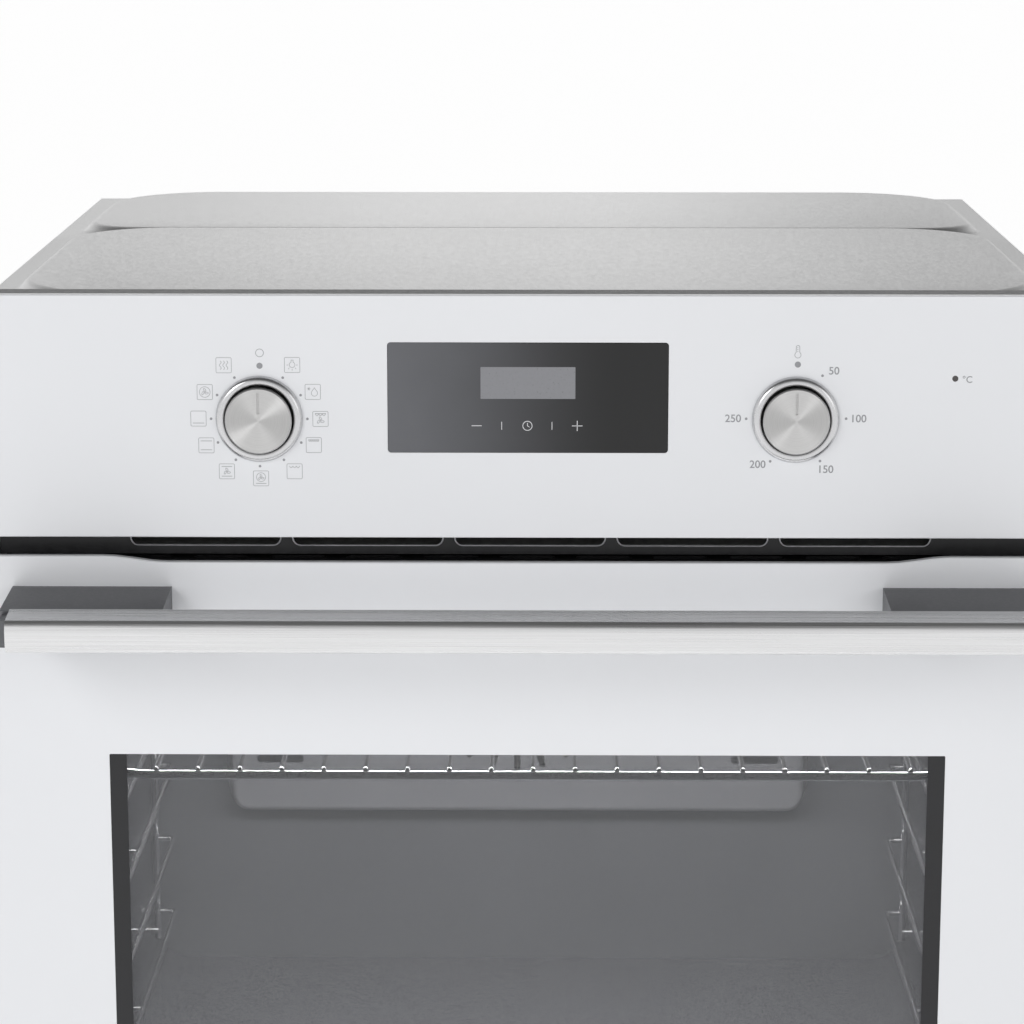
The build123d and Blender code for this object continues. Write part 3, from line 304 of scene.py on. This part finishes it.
lens_glass = surface("lens_glass", (0.8, 0.8, 0.78), rough=0.12, tone=0.06, grain=300, rough_vary=0.05,
                     bump=0.2, bump_grain=500, alpha=0.55)
dark_print = surface("dark_print", (0.008, 0.008, 0.01), rough=0.4, tone=0.2, grain=60, bump=0.03)
legend_ink = surface("legend_ink", (0.3, 0.305, 0.32), rough=0.5, tone=0.05, grain=700)
icon_ink = surface("icon_ink", (0.34, 0.345, 0.36), rough=0.5, tone=0.05, grain=700)
pale_ink = surface("pale_ink", (0.7, 0.7, 0.72), rough=0.5, tone=0.05, grain=700)
pilot_dark = surface("pilot_dark", (0.03, 0.022, 0.02), rough=0.2, tone=0.1, grain=800, coat=1.0)
ring_metal = surface("ring_metal", (0.6, 0.6, 0.61), metallic=1.0, rough=0.24, tone=0.02, grain=300,
                     rough_vary=0.03)
disc_metal = surface("disc_metal", (0.6, 0.597, 0.593), metallic=1.0, rough=0.42, tone=0.03, grain=60,
                     rough_vary=0.03, anisotropy=0.93, radial="Y")
bar_metal = surface("bar_metal", (0.69, 0.69, 0.695), metallic=1.0, rough=0.3, tone=0.07, grain=260,
                    stretch=(0.03, 6, 6), rough_vary=0.07, bump=0.1, bump_grain=900, anisotropy=0.4)
bracket_paint = surface("bracket_paint", (0.13, 0.132, 0.14), metallic=0.6, rough=0.42, tone=0.1, grain=500,
                        rough_vary=0.06, bump=0.08, bump_grain=2500)
galvanised = surface("galvanised", (0.6, 0.605, 0.6), metallic=0.85, rough=0.42, tone=0.07, grain=420,
                     stretch=(1, 0.5, 1), rough_vary=0.07, bump=0.12, bump_grain=2600)
top_sheet = surface("top_sheet", (0.93, 0.93, 0.93), metallic=0.92, rough=0.34, tone=0.05, grain=700,
                    stretch=(1, 0.4, 1), rough_vary=0.06, bump=0.12, bump_grain=3200)
zinc = surface("zinc", (0.5, 0.5, 0.49), metallic=1.0, rough=0.36, tone=0.1, grain=350, rough_vary=0.08,
               bump=0.1, bump_grain=1800)
frame_paint = surface("frame_paint", (0.018, 0.018, 0.02), rough=0.42, tone=0.2, grain=260, bump=0.1,
                      bump_grain=1500, specular=0.4)
vent_paint = surface("vent_paint", (0.022, 0.022, 0.024), rough=0.4, tone=0.15, grain=260, bump=0.06,
                     bump_grain=1500, specular=0.4)
rim_metal = surface("rim_metal", (0.5, 0.5, 0.52), metallic=0.7, rough=0.4, tone=0.1, grain=300)
enamel = surface("enamel", (0.11, 0.112, 0.122), rough=0.3, tone=0.14, grain=900, rough_vary=0.08, bump=0.12,
                 bump_grain=450)
cover_enamel = surface("cover_enamel", (0.22, 0.222, 0.235), rough=0.32, tone=0.1, grain=900,
                       rough_vary=0.08, bump=0.12, bump_grain=450)
wire_metal = surface("wire_metal", (0.75, 0.75, 0.76), metallic=1.0, rough=0.16, tone=0.06, grain=600,
                     rough_vary=0.05, bump=0.04, bump_grain=2200)
sheath = surface("sheath", (0.16, 0.15, 0.14), metallic=0.8, rough=0.45, tone=0.2, grain=300, bump=0.12,
                 bump_grain=1500)
carrier_plastic = surface("carrier_plastic", (0.14, 0.142, 0.145), rough=0.45, tone=0.08, grain=500,
                          bump=0.14, bump_grain=2500)
black_plastic = surface("black_plastic", (0.025, 0.025, 0.026), rough=0.5, tone=0.12, grain=500, bump=0.18,
                        bump_grain=2600)
white_plastic = surface("white_plastic", (0.72, 0.71, 0.68), rough=0.45, tone=0.05, grain=400, bump=0.1,
                        bump_grain=2000)
board = surface("board", (0.05, 0.16, 0.08), rough=0.4, tone=0.2, grain=260, bump=0.2, bump_grain=900)
felt = surface("felt", (0.12, 0.12, 0.12), rough=0.95, tone=0.25, grain=1200, bump=0.7, bump_grain=1800,
               sheen=0.3)
wool = surface("wool", (0.62, 0.56, 0.38), rough=0.98, tone=0.2, grain=240, stretch=(1, 1, 5), bump=0.8,
               bump_grain=700, sheen=0.4)
ceramic = surface("ceramic", (0.75, 0.72, 0.65), rough=0.5, tone=0.06, grain=300, bump=0.1, bump_grain=1500)


turned_rings(disc_metal, 90, 0.06)
# painted reflection: the display glass colour runs from bright at the left to nearly black at the right
painted_light_ramp(black_glass, "X", -0.075, 0.045, 1.0, 0.05)
# painted light and shade: the top sheet is darkest towards both sides and slightly darker towards the front,
# brightest in the middle
painted_light_ramp(top_sheet, "X", -0.27, -0.05, 0.78, 1.0)
painted_light_ramp(top_sheet, "X", 0.02, 0.26, 1.0, 0.6)
painted_light_ramp(top_sheet, "Y", 0.06, 0.11, 0.92, 1.02)

LOOKS = {
    white_glass: ["panel_glass"],
    black_glass: ["display_glass"],
    carrier_plastic: ["panel_carrier", "terminal_box"],
    black_plastic: ["display_module", "function_selector", "cable_gland", "pane_clips"],
    pilot_dark: ["pilot_lamp"],
    ring_metal: ["knob_rings"],
    disc_metal: ["function_knob", "temperature_knob"],
    zinc: ["function_spindle", "temperature_spindle", "thermostat_probe", "cooling_fan_rotor",
           "cooling_fan_motor", "convection_impeller", "convection_motor", "lamp_housing", "hinge_receivers",
           "hinge_pins", "casing_screws", "hinge_arms", "handle_screws"],
    vent_paint: ["vent_grille", "door_top_rail"],
    frame_paint: ["front_frame", "door_side_rails", "door_bottom_rail"],
    galvanised: ["switch_plate", "air_duct", "cooling_fan_housing", "casing_base", "casing_side_left",
                 "casing_side_right", "casing_back", "rear_cover"],
    top_sheet: ["casing_top_cover"],
    enamel: ["cavity_liner"],
    cover_enamel: ["fan_cover"],
    sheath: ["grill_element", "bottom_element", "ring_element"],
    wire_metal: ["wire_shelf", "shelf_racks"],
    lens_glass: ["lamp_lens", "lamp_bulb"],
    felt: ["door_gasket"],
    wool: ["insulation_blanket"],
    ceramic: ["thermostat_switch"],
    white_plastic: ["terminal_block"],
    board: ["control_board"],
    inner_glass: ["door_middle_glass", "door_inner_glass"],
    bar_metal: ["handle_bar"],
    bracket_paint: ["handle_bracket_left", "handle_bracket_right"],
    edge_glass: ["door_outer_glass", "door_print"],
}
for material, names in LOOKS.items():
    for name in names:
        mesh = nodes[name].data
        mesh.materials.clear()
        mesh.materials.append(material)

# ---------------------------------------------------------------- door: printed pane with a clear window
WINDOW_HALF = 207.4
WINDOW_LOW = 110.0
WINDOW_TOP = 365.0
WINDOW_CORNER = 0.6
WINDOW_GAP = 0.05   # joint between the printed pane and the clear one
WINDOW_FRONT = FACE + 0.02
WINDOW_REAR = FACE + 3.9
CUT_FRONT, CUT_REAR = FACE - 5, FACE + 9
BAND = 8.6          # width of the dark print down each side of the window
BAND_FRONT, BAND_REAR = FACE + 0.004, FACE + 0.014
BORDER_MARGIN = 1   # bare edge round the print on the inner panes
BORDER_FRONT, BORDER_REAR = 0.05, 0.01

door_mesh = nodes["door_outer_glass"].data.copy()
bm = bmesh.new()
bm.from_mesh(door_mesh)
bmesh.ops.remove_doubles(bm, verts=bm.verts, dist=WELD)
bm.to_mesh(door_mesh)
bm.free()
door_front = add_object("door_front", door_mesh, "door", white_glass)

bm = bmesh.new()
plate(bm, rounded_outline(-WINDOW_HALF, WINDOW_HALF, WINDOW_LOW, WINDOW_TOP, WINDOW_CORNER, 4),
      CUT_FRONT, CUT_REAR)
cutter_mesh = mesh_from(bm, "window_cutter")
cutter = bpy.data.objects.new("window_cutter", cutter_mesh)
bpy.context.scene.collection.objects.link(cutter)
cut = door_front.modifiers.new("window", "BOOLEAN")
cut.operation = "DIFFERENCE"
cut.solver = "EXACT"
cut.object = cutter
bpy.context.view_layer.update()
shown = bpy.context.evaluated_depsgraph_get()
opened = bpy.data.meshes.new_from_object(door_front.evaluated_get(shown))
door_front.modifiers.clear()
door_front.data = opened
bpy.data.objects.remove(cutter)
for face in door_front.data.polygons:
    face.use_smooth = False
door_front.data.materials.clear()
door_front.data.materials.append(white_glass)
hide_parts("door_outer_glass", "door_print")

bm = bmesh.new()
plate(bm, rounded_outline(-WINDOW_HALF + WINDOW_GAP, WINDOW_HALF - WINDOW_GAP, WINDOW_LOW + WINDOW_GAP,
                          WINDOW_TOP - WINDOW_GAP, WINDOW_CORNER, 4), WINDOW_FRONT, WINDOW_REAR)
add_object("door_window", mesh_from(bm, "door_window"), "door", window_glass)

# dark print down both sides of the window, and round the panes behind it
bm = bmesh.new()
for side in (-1, 1):
    low, high = sorted((side * (WINDOW_HALF - BAND), side * (WINDOW_HALF - WINDOW_GAP)))
    plate(bm, [(low, WINDOW_LOW), (high, WINDOW_LOW), (high, WINDOW_TOP), (low, WINDOW_TOP)],
          BAND_FRONT, BAND_REAR)
add_object("window_side_bands", mesh_from(bm, "window_side_bands"), "door", dark_print)


def pane_border(name, depth, inner, low, high, node):
    """Dark printed frame on a pane's front face."""
    box_low, box_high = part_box(node)
    half = box_high[0] / MM - BORDER_MARGIN
    bottom, top = box_low[2] / MM + BORDER_MARGIN, box_high[2] / MM - BORDER_MARGIN
    front, rear = depth - BORDER_FRONT, depth - BORDER_REAR
    bm = bmesh.new()
    for side in (-1, 1):
        x_low, x_high = sorted((side * inner, side * half))
        plate(bm, [(x_low, bottom), (x_high, bottom), (x_high, top), (x_low, top)], front, rear)
    plate(bm, [(-inner, bottom), (inner, bottom), (inner, low), (-inner, low)], front, rear)
    plate(bm, [(-inner, high), (inner, high), (inner, top), (-inner, top)], front, rear)
    return add_object(name, mesh_from(bm, name), "door", dark_print)


pane_border("middle_pane_print", -3.0, 214, 102, 372, "door_middle_glass")
pane_border("inner_pane_print", 12.0, 222, 96, 378, "door_inner_glass")

# ---------------------------------------------------------------- printed marks on the control panel
PRINT = FACE - 0.04   # depth of every mark
LINE = 0.3
FINE = LINE * 0.8
THIN = LINE * 0.7
ICON_HALF = 3.72
ICON_CORNER = 0.6


def fan_sign(bm, x, z, size):
    """Three-bladed fan."""
    for k in range(3):
        turn = math.radians(90 + 120 * k)
        hub = Vector((x + 0.62 * size * math.cos(turn), z + 0.62 * size * math.sin(turn)))
        lean = turn + math.radians(35)
        loop = []
        for i in range(14):
            a = 2 * math.pi * i / 14
            along = 0.52 * size * math.cos(a)
            across = 0.27 * size * math.sin(a)
            loop.append((hub.x + along * math.cos(lean) - across * math.sin(lean),
                         hub.y + along * math.sin(lean) + across * math.cos(lean)))
        ribbon(bm, loop, FINE, PRINT, closed=True)
    dot(bm, x, z, 0.13 * size, PRINT)


def grill_sign(bm, x, z, humps, half=2.5, depth=0.75):
    """Row of hanging loops for the grill."""
    points = []
    steps = humps * 8
    for i in range(steps + 1):
        share = i / steps
        points.append((x - half + 2 * half * share, z - depth * abs(math.sin(math.pi * humps * share))))
    ribbon(bm, points, FINE, PRINT)


def level_line(bm, x, z, half=2.4):
    """Straight line for top or bottom heat."""
    ribbon(bm, [(x - half, z), (x + half, z)], LINE, PRINT)


def icon_frame(bm, x, z):
    """Rounded square round each function sign."""
    outline = rounded_outline(x - ICON_HALF, x + ICON_HALF, z - ICON_HALF, z + ICON_HALF, ICON_CORNER, 4)
    ribbon(bm, outline, FINE, PRINT, closed=True)


KNOB_X = abs(joints["function_turn"]["pos_m"][0]) / MM
KNOB_Z = joints["function_turn"]["pos_m"][2] / MM

bm = bmesh.new()
ICONS = {
    "lamp": (-113.75, 560.8), "steam_clean": (-103.93, 547.62), "grill_fan": (-100.35, 534.3),
    "wide_grill": (-103.75, 521.38), "grill": (-113.26, 508.37), "fan_bottom": (-129.68, 504.82),
    "both_fan": (-146.27, 508.29), "both": (-156.02, 521.16), "bottom": (-159.62, 534.39),
    "fan_ring": (-156.31, 547.46), "warming": (-146.91, 560.63),
}
for x, z in ICONS.values():
    icon_frame(bm, x, z)

x, z = ICONS["lamp"]
ribbon(bm, [(x - 0.5, z + 2.4), (x - 0.5, z + 1.5)] + arc(x, z + 0.1, 1.35, 112, 428, 22)
       + [(x + 0.5, z + 1.5), (x + 0.5, z + 2.4)], FINE, PRINT)
ribbon(bm, [(x - 0.5, z + 2.4), (x + 0.5, z + 2.4)], FINE, PRINT)
for turn in (180, 225, 270, 315, 360):
    a = math.radians(turn)
    ray = [(x + reach * math.cos(a), z + reach * math.sin(a)) for reach in (2.0, 2.6)]
    ribbon(bm, ray, FINE, PRINT)

x, z = ICONS["steam_clean"]
ribbon(bm, [(x + 0.8, z + 2.0)] + arc(x + 0.8, z - 0.6, 1.5, 150, 390, 20), FINE, PRINT, closed=True)
for turn in (0, 60, 120):
    a = math.radians(turn)
    dx, dz = 0.75 * math.cos(a), 0.75 * math.sin(a)
    ribbon(bm, [(x - 1.9 - dx, z + 1.5 - dz), (x - 1.9 + dx, z + 1.5 + dz)], THIN, PRINT)

x, z = ICONS["grill_fan"]
level_line(bm, x, z + 2.6, 2.5)
grill_sign(bm, x, z + 2.5, 3, 2.5, 0.9)
fan_sign(bm, x, z - 0.8, 1.7)

x, z = ICONS["wide_grill"]
level_line(bm, x, z + 2.6, 2.5)
grill_sign(bm, x, z + 2.4, 5, 2.5, 0.6)

x, z = ICONS["grill"]
grill_sign(bm, x, z + 2.6, 3, 2.5, 0.8)

x, z = ICONS["fan_bottom"]
ribbon(bm, arc(x, z + 0.6, 2.2, 0, 345, 24), FINE, PRINT, closed=True)
fan_sign(bm, x, z + 0.5, 1.4)
level_line(bm, x, z - 2.5)

x, z = ICONS["both_fan"]
level_line(bm, x, z + 2.4)
level_line(bm, x, z - 2.4)
fan_sign(bm, x, z - 0.1, 1.6)

x, z = ICONS["both"]
level_line(bm, x, z + 2.2, 2.6)
level_line(bm, x, z - 2.2, 2.6)

x, z = ICONS["bottom"]
level_line(bm, x, z - 2.2, 2.6)

x, z = ICONS["fan_ring"]
ribbon(bm, arc(x, z, 2.6, 0, 345, 24), FINE, PRINT, closed=True)
fan_sign(bm, x, z, 1.65)

x, z = ICONS["warming"]
for shift in (-1.6, 0, 1.6):
    wave = [(x + shift + 0.42 * math.sin(i * math.pi / 5), z - 2.1 + 0.28 * i) for i in range(16)]
    ribbon(bm, wave, FINE, PRINT)

# off sign over the left dial, thermometer over the right one
ribbon(bm, arc(-129.44, 566.7, 1.9, 0, 345, 24), LINE, PRINT, closed=True)
x, z = 130.6, 567.6
outline = arc(x, z - 1.5, 1.5, 125, 415, 22) + arc(x, z + 2.3, 0.85, 0, 180, 10)
ribbon(bm, outline, LINE * 0.9, PRINT, closed=True)
for k in range(3):
    ribbon(bm, [(x - 0.4, z + 2.0 - 0.9 * k), (x + 0.1, z + 2.0 - 0.9 * k)], THIN, PRINT)
add_object("panel_icons", mesh_from(bm, "panel_icons"), "oven_body", icon_ink)

SMALL_DOT = 0.66
BIG_DOT = 1.5
DIAL_RADIUS = 23.4
TEMPERATURE_DOTS = ((142.66, 555.95), (154.52, 534.86), (142.27, 513.93), (118.09, 513.76), (106.1, 534.73))
bm = bmesh.new()
for k in range(1, 12):
    turn = math.radians(90 - 30 * k)
    x, z = -KNOB_X + DIAL_RADIUS * math.cos(turn), KNOB_Z + DIAL_RADIUS * math.sin(turn)
    dot(bm, x, z, SMALL_DOT, PRINT, 16)
dot(bm, -129.55, 560.4, BIG_DOT, PRINT)
for x, z in TEMPERATURE_DOTS:
    dot(bm, x, z, SMALL_DOT, PRINT, 16)
dot(bm, 130.65, 561.4, BIG_DOT, PRINT)
add_object("panel_dots", mesh_from(bm, "panel_dots"), "oven_body", legend_ink)


def lettering(name, text, x, z, size, weight, material):
    """Number or unit printed on the panel, centred on a point."""
    curve = bpy.data.curves.new(name, "FONT")
    curve.body = text
    curve.size = size * MM
    curve.offset = weight * MM
    curve.align_x = "CENTER"
    curve.align_y = "CENTER"
    holder = bpy.data.objects.new(name + "_curve", curve)
    bpy.context.scene.collection.objects.link(holder)
    bpy.context.view_layer.update()
    shown = bpy.context.evaluated_depsgraph_get()
    mesh = bpy.data.meshes.new_from_object(holder.evaluated_get(shown))
    bpy.data.objects.remove(holder)
    xs = [v.co.x for v in mesh.vertices]
    ys = [v.co.y for v in mesh.vertices]
    centre = Vector(((min(xs) + max(xs)) / 2, (min(ys) + max(ys)) / 2, 0))
    mesh.transform(Matrix.Translation(-centre))
    mesh.transform(Matrix.Rotation(math.radians(90), 4, "X"))
    mesh.transform(Matrix.Translation(spot(x, PRINT, z)))
    return add_object(name, mesh, "oven_body", material)


NUMBERS = {"50": (148.25, 558.4), "100": (160.91, 534.95), "150": (145.43, 509.9), "200": (112.0, 512.3),
           "250": (99.75, 534.95)}
for text, (x, z) in NUMBERS.items():
    lettering("dial_" + text, text, x, z, size=5.3, weight=0.05, material=legend_ink)
lettering("pilot_unit", "°C", 212.7, 554.3, size=4.6, weight=0.03, material=legend_ink)

# display: lighter screen on the glass, and touch signs
SCREEN = (-22.64, 23.28, 544.35, 559.95)   # left, right, low, top
SCREEN_REAR = FACE - 0.01
bm = bmesh.new()
plate(bm, rounded_outline(*SCREEN, 0.3, 3), PRINT, SCREEN_REAR)
add_object("display_screen", mesh_from(bm, "display_screen"), "oven_body", screen_glass)

TOUCH_Z = 531.1
TOUCH_STROKES = [   # both ends, with heights from TOUCH_Z, and width
    ((-26.8, 0), (-22.3, 0), 0.36),
    ((-12.4, -1.8), (-12.4, 1.8), 0.32),
    ((12.0, -1.8), (12.0, 1.8), 0.32),
    ((21.9, 0), (26.6, 0), 0.36),
    ((24.25, -2.35), (24.25, 2.35), 0.36),
]
CLOCK_X = 0.1
bm = bmesh.new()
for start, end, width in TOUCH_STROKES:
    ribbon(bm, [(start[0], TOUCH_Z + start[1]), (end[0], TOUCH_Z + end[1])], width, PRINT)
ribbon(bm, arc(CLOCK_X, TOUCH_Z, 2.25, 0, 345, 24), 0.34, PRINT, closed=True)
ribbon(bm, [(CLOCK_X, TOUCH_Z + 1.3), (CLOCK_X, TOUCH_Z), (CLOCK_X + 0.9, TOUCH_Z - 0.6)], 0.3, PRINT)
add_object("touch_signs", mesh_from(bm, "touch_signs"), "oven_body", pale_ink)

# ---------------------------------------------------------------- rolled rims of the air slots
SLOT_COUNT = 5
SLOT_PITCH = 80.2
SLOT_MIDDLE = 1.4
SLOT_HALF = 37.2
SLOT_LOW = 467.7
SLOT_TOP = 474.4
SLOT_CORNER = 4
RIM_DEPTH = -3.25
RIM_RADIUS = 0.42
bm = bmesh.new()
for k in range(SLOT_COUNT):
    centre = SLOT_MIDDLE + SLOT_PITCH * (k - SLOT_COUNT // 2)
    left, right = centre - SLOT_HALF, centre + SLOT_HALF
    path = [(left, SLOT_TOP)] + arc(left + SLOT_CORNER, SLOT_LOW + SLOT_CORNER, SLOT_CORNER, 180, 270, 6)
    path += arc(right - SLOT_CORNER, SLOT_LOW + SLOT_CORNER, SLOT_CORNER, 270, 360, 6) + [(right, SLOT_TOP)]
    bead(bm, [spot(x, RIM_DEPTH, z) for x, z in path], RIM_RADIUS * MM)
add_object("vent_rims", mesh_from(bm, "vent_rims", smooth=True), "oven_body", rim_metal)

# ---------------------------------------------------------------- top sheet, edges of its fields rolled
SHEET_Z = 0.5799         # just under the flat of the sheet, in metres
FIELD_Z = 0.5846         # just under the tops of the two pressed fields, in metres
FIELD_SPLIT = 319        # depth between the front field and the rear one
FRONT_LIFT, REAR_LIFT = 0.5, -0.7
FLAT_ANGLE = math.radians(0.6)
FOLD_ANGLE = math.radians(20)
FOLD_ROUNDING = 2.4
UPWARD = 0.3             # least upward part of the normal of a face that is seen from above
bm = bmesh.new()
bm.from_mesh(nodes["casing_top_cover"].data)
bmesh.ops.remove_doubles(bm, verts=bm.verts, dist=WELD)
bmesh.ops.dissolve_limit(bm, angle_limit=FLAT_ANGLE, verts=bm.verts, edges=bm.edges)
for vert in bm.verts:
    if vert.co.z > FIELD_Z:
        vert.co.z += FRONT_LIFT * MM if vert.co.y < FLANGE_Y + FIELD_SPLIT * MM else REAR_LIFT * MM
bm.normal_update()
folds = []
for edge in bm.edges:
    if len(edge.link_faces) == 2 and min(v.co.z for v in edge.verts) > SHEET_Z:
        if min(face.normal.z for face in edge.link_faces) > UPWARD:
            if edge.calc_face_angle(0) > FOLD_ANGLE:
                folds.append(edge)
bmesh.ops.bevel(bm, geom=folds, offset=FOLD_ROUNDING * MM, offset_type="OFFSET", segments=4, profile=0.5,
                affect="EDGES", clamp_overlap=False)
top_mesh = bpy.data.meshes.new("top_sheet_rolled")
bm.to_mesh(top_mesh)
bm.free()
for face in top_mesh.polygons:
    face.use_smooth = face.normal.z > UPWARD
top_piece = add_object("top_sheet_rolled", top_mesh, "oven_body", top_sheet)
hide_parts("casing_top_cover")

# ---------------------------------------------------------------- rounded rings round the knobs
# radius and depth round the ring's section
RING_PROFILE = [(16.95, -20.0), (16.95, -22.2), (17.15, -22.7), (17.6, -22.95), (18.2, -23.0), (18.9, -22.93),
                (19.6, -22.7), (20.2, -22.3), (20.7, -21.7), (21.05, -21.0), (21.2, -20.4), (21.2, -20.0)]
bm = bmesh.new()
TURNS = 128
for side in (-1, 1):
    loops = []
    for k in range(TURNS):
        turn = 2 * math.pi * k / TURNS
        loops.append([bm.verts.new(spot(side * KNOB_X + radius * math.cos(turn), depth,
                                        KNOB_Z + radius * math.sin(turn))) for radius, depth in RING_PROFILE])
    for k in range(TURNS):
        a, b = loops[k], loops[(k + 1) % TURNS]
        for i in range(len(RING_PROFILE)):
            j = (i + 1) % len(RING_PROFILE)
            bm.faces.new((a[i], a[j], b[j], b[i]))
rings = add_object("knob_rings_rounded", mesh_from(bm, "knob_rings_rounded", smooth=True), "oven_body",
                   ring_metal)
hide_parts("knob_rings")

# ---------------------------------------------------------------- studio
SKY_LOW = 1.0            # strength at the horizon
SKY_HIGH = 0.12          # strength overhead
SKY_FADE = (0.1, 0.8)    # upward part of the direction between which it fades
FLOOR_HALF = 14
FLOOR_GLOW = 0.68
floor_mesh = bpy.data.meshes.new("floor")
bm = bmesh.new()
bmesh.ops.create_grid(bm, x_segments=1, y_segments=1, size=FLOOR_HALF)
bm.to_mesh(floor_mesh)
bm.free()
floor = bpy.data.objects.new("floor", floor_mesh)
bpy.context.scene.collection.objects.link(floor)
floor_look = bpy.data.materials.new("floor_look")
floor_look.use_nodes = True
floor_shader = floor_look.node_tree.nodes["Principled BSDF"]
floor_shader.inputs["Base Color"].default_value = (0.9, 0.9, 0.9, 1)
floor_shader.inputs["Roughness"].default_value = 0.9
floor_shader.inputs["Emission Color"].default_value = (1, 1, 1, 1)
floor_shader.inputs["Emission Strength"].default_value = FLOOR_GLOW
floor.data.materials.append(floor_look)

world = bpy.data.worlds.new("studio")
bpy.context.scene.world = world
world.use_nodes = True
world_tree = world.node_tree
sky = world_tree.nodes["Background"]
sky.inputs["Color"].default_value = (1, 1, 1, 1)
direction = world_tree.nodes.new("ShaderNodeTexCoord")
parts = world_tree.nodes.new("ShaderNodeSeparateXYZ")
world_tree.links.new(direction.outputs["Generated"], parts.inputs["Vector"])
fade = map_range(world_tree, parts.outputs["Z"], *SKY_FADE, SKY_LOW, SKY_HIGH, "SMOOTHSTEP")
world_tree.links.new(fade, sky.inputs["Strength"])


def softbox(name, place, target, width, height, power):
    """Rectangular soft light aimed at a point."""
    lamp = bpy.data.lights.new(name, "AREA")
    lamp.shape = "RECTANGLE"
    lamp.size = width
    lamp.size_y = height
    lamp.energy = power
    holder = bpy.data.objects.new(name, lamp)
    holder.location = place
    holder.rotation_mode = "QUATERNION"
    holder.rotation_quaternion = (Vector(target) - Vector(place)).to_track_quat("-Z", "Y")
    bpy.context.scene.collection.objects.link(holder)


softbox("key_left", (-1.6, -2.0, 1.7), (0, -0.25, 0.45), 0.9, 0.9, 12)
softbox("fill_right", (1.9, -2.1, 1.3), (0, -0.25, 0.4), 1.2, 1.2, 3.6)
softbox("cavity_light", spot(0, 70, 398), spot(0, 300, 120), 0.45, 0.05, 2.2)

camera_data = bpy.data.cameras.new("camera")
camera = bpy.data.objects.new("camera", camera_data)
bpy.context.scene.collection.objects.link(camera)
bpy.context.scene.camera = camera
camera_data.sensor_width = 36
camera_data.lens = 112.5
camera_data.clip_start = 0.05
camera_data.clip_end = 60
PITCH = math.radians(12.10)
YAW = math.radians(-0.54)
forward = Vector((math.sin(YAW) * math.cos(PITCH), math.cos(YAW) * math.cos(PITCH), -math.sin(PITCH)))
level = Vector((math.cos(YAW), -math.sin(YAW), 0))
turn = Matrix((level, level.cross(forward), -forward)).transposed()
camera.rotation_mode = "QUATERNION"
camera.rotation_quaternion = turn.to_quaternion()
camera.location = spot(7.0, -1547.1, 815.7)

bpy.context.scene.view_settings.view_transform = "Standard"
bpy.context.scene.view_settings.look = "None"
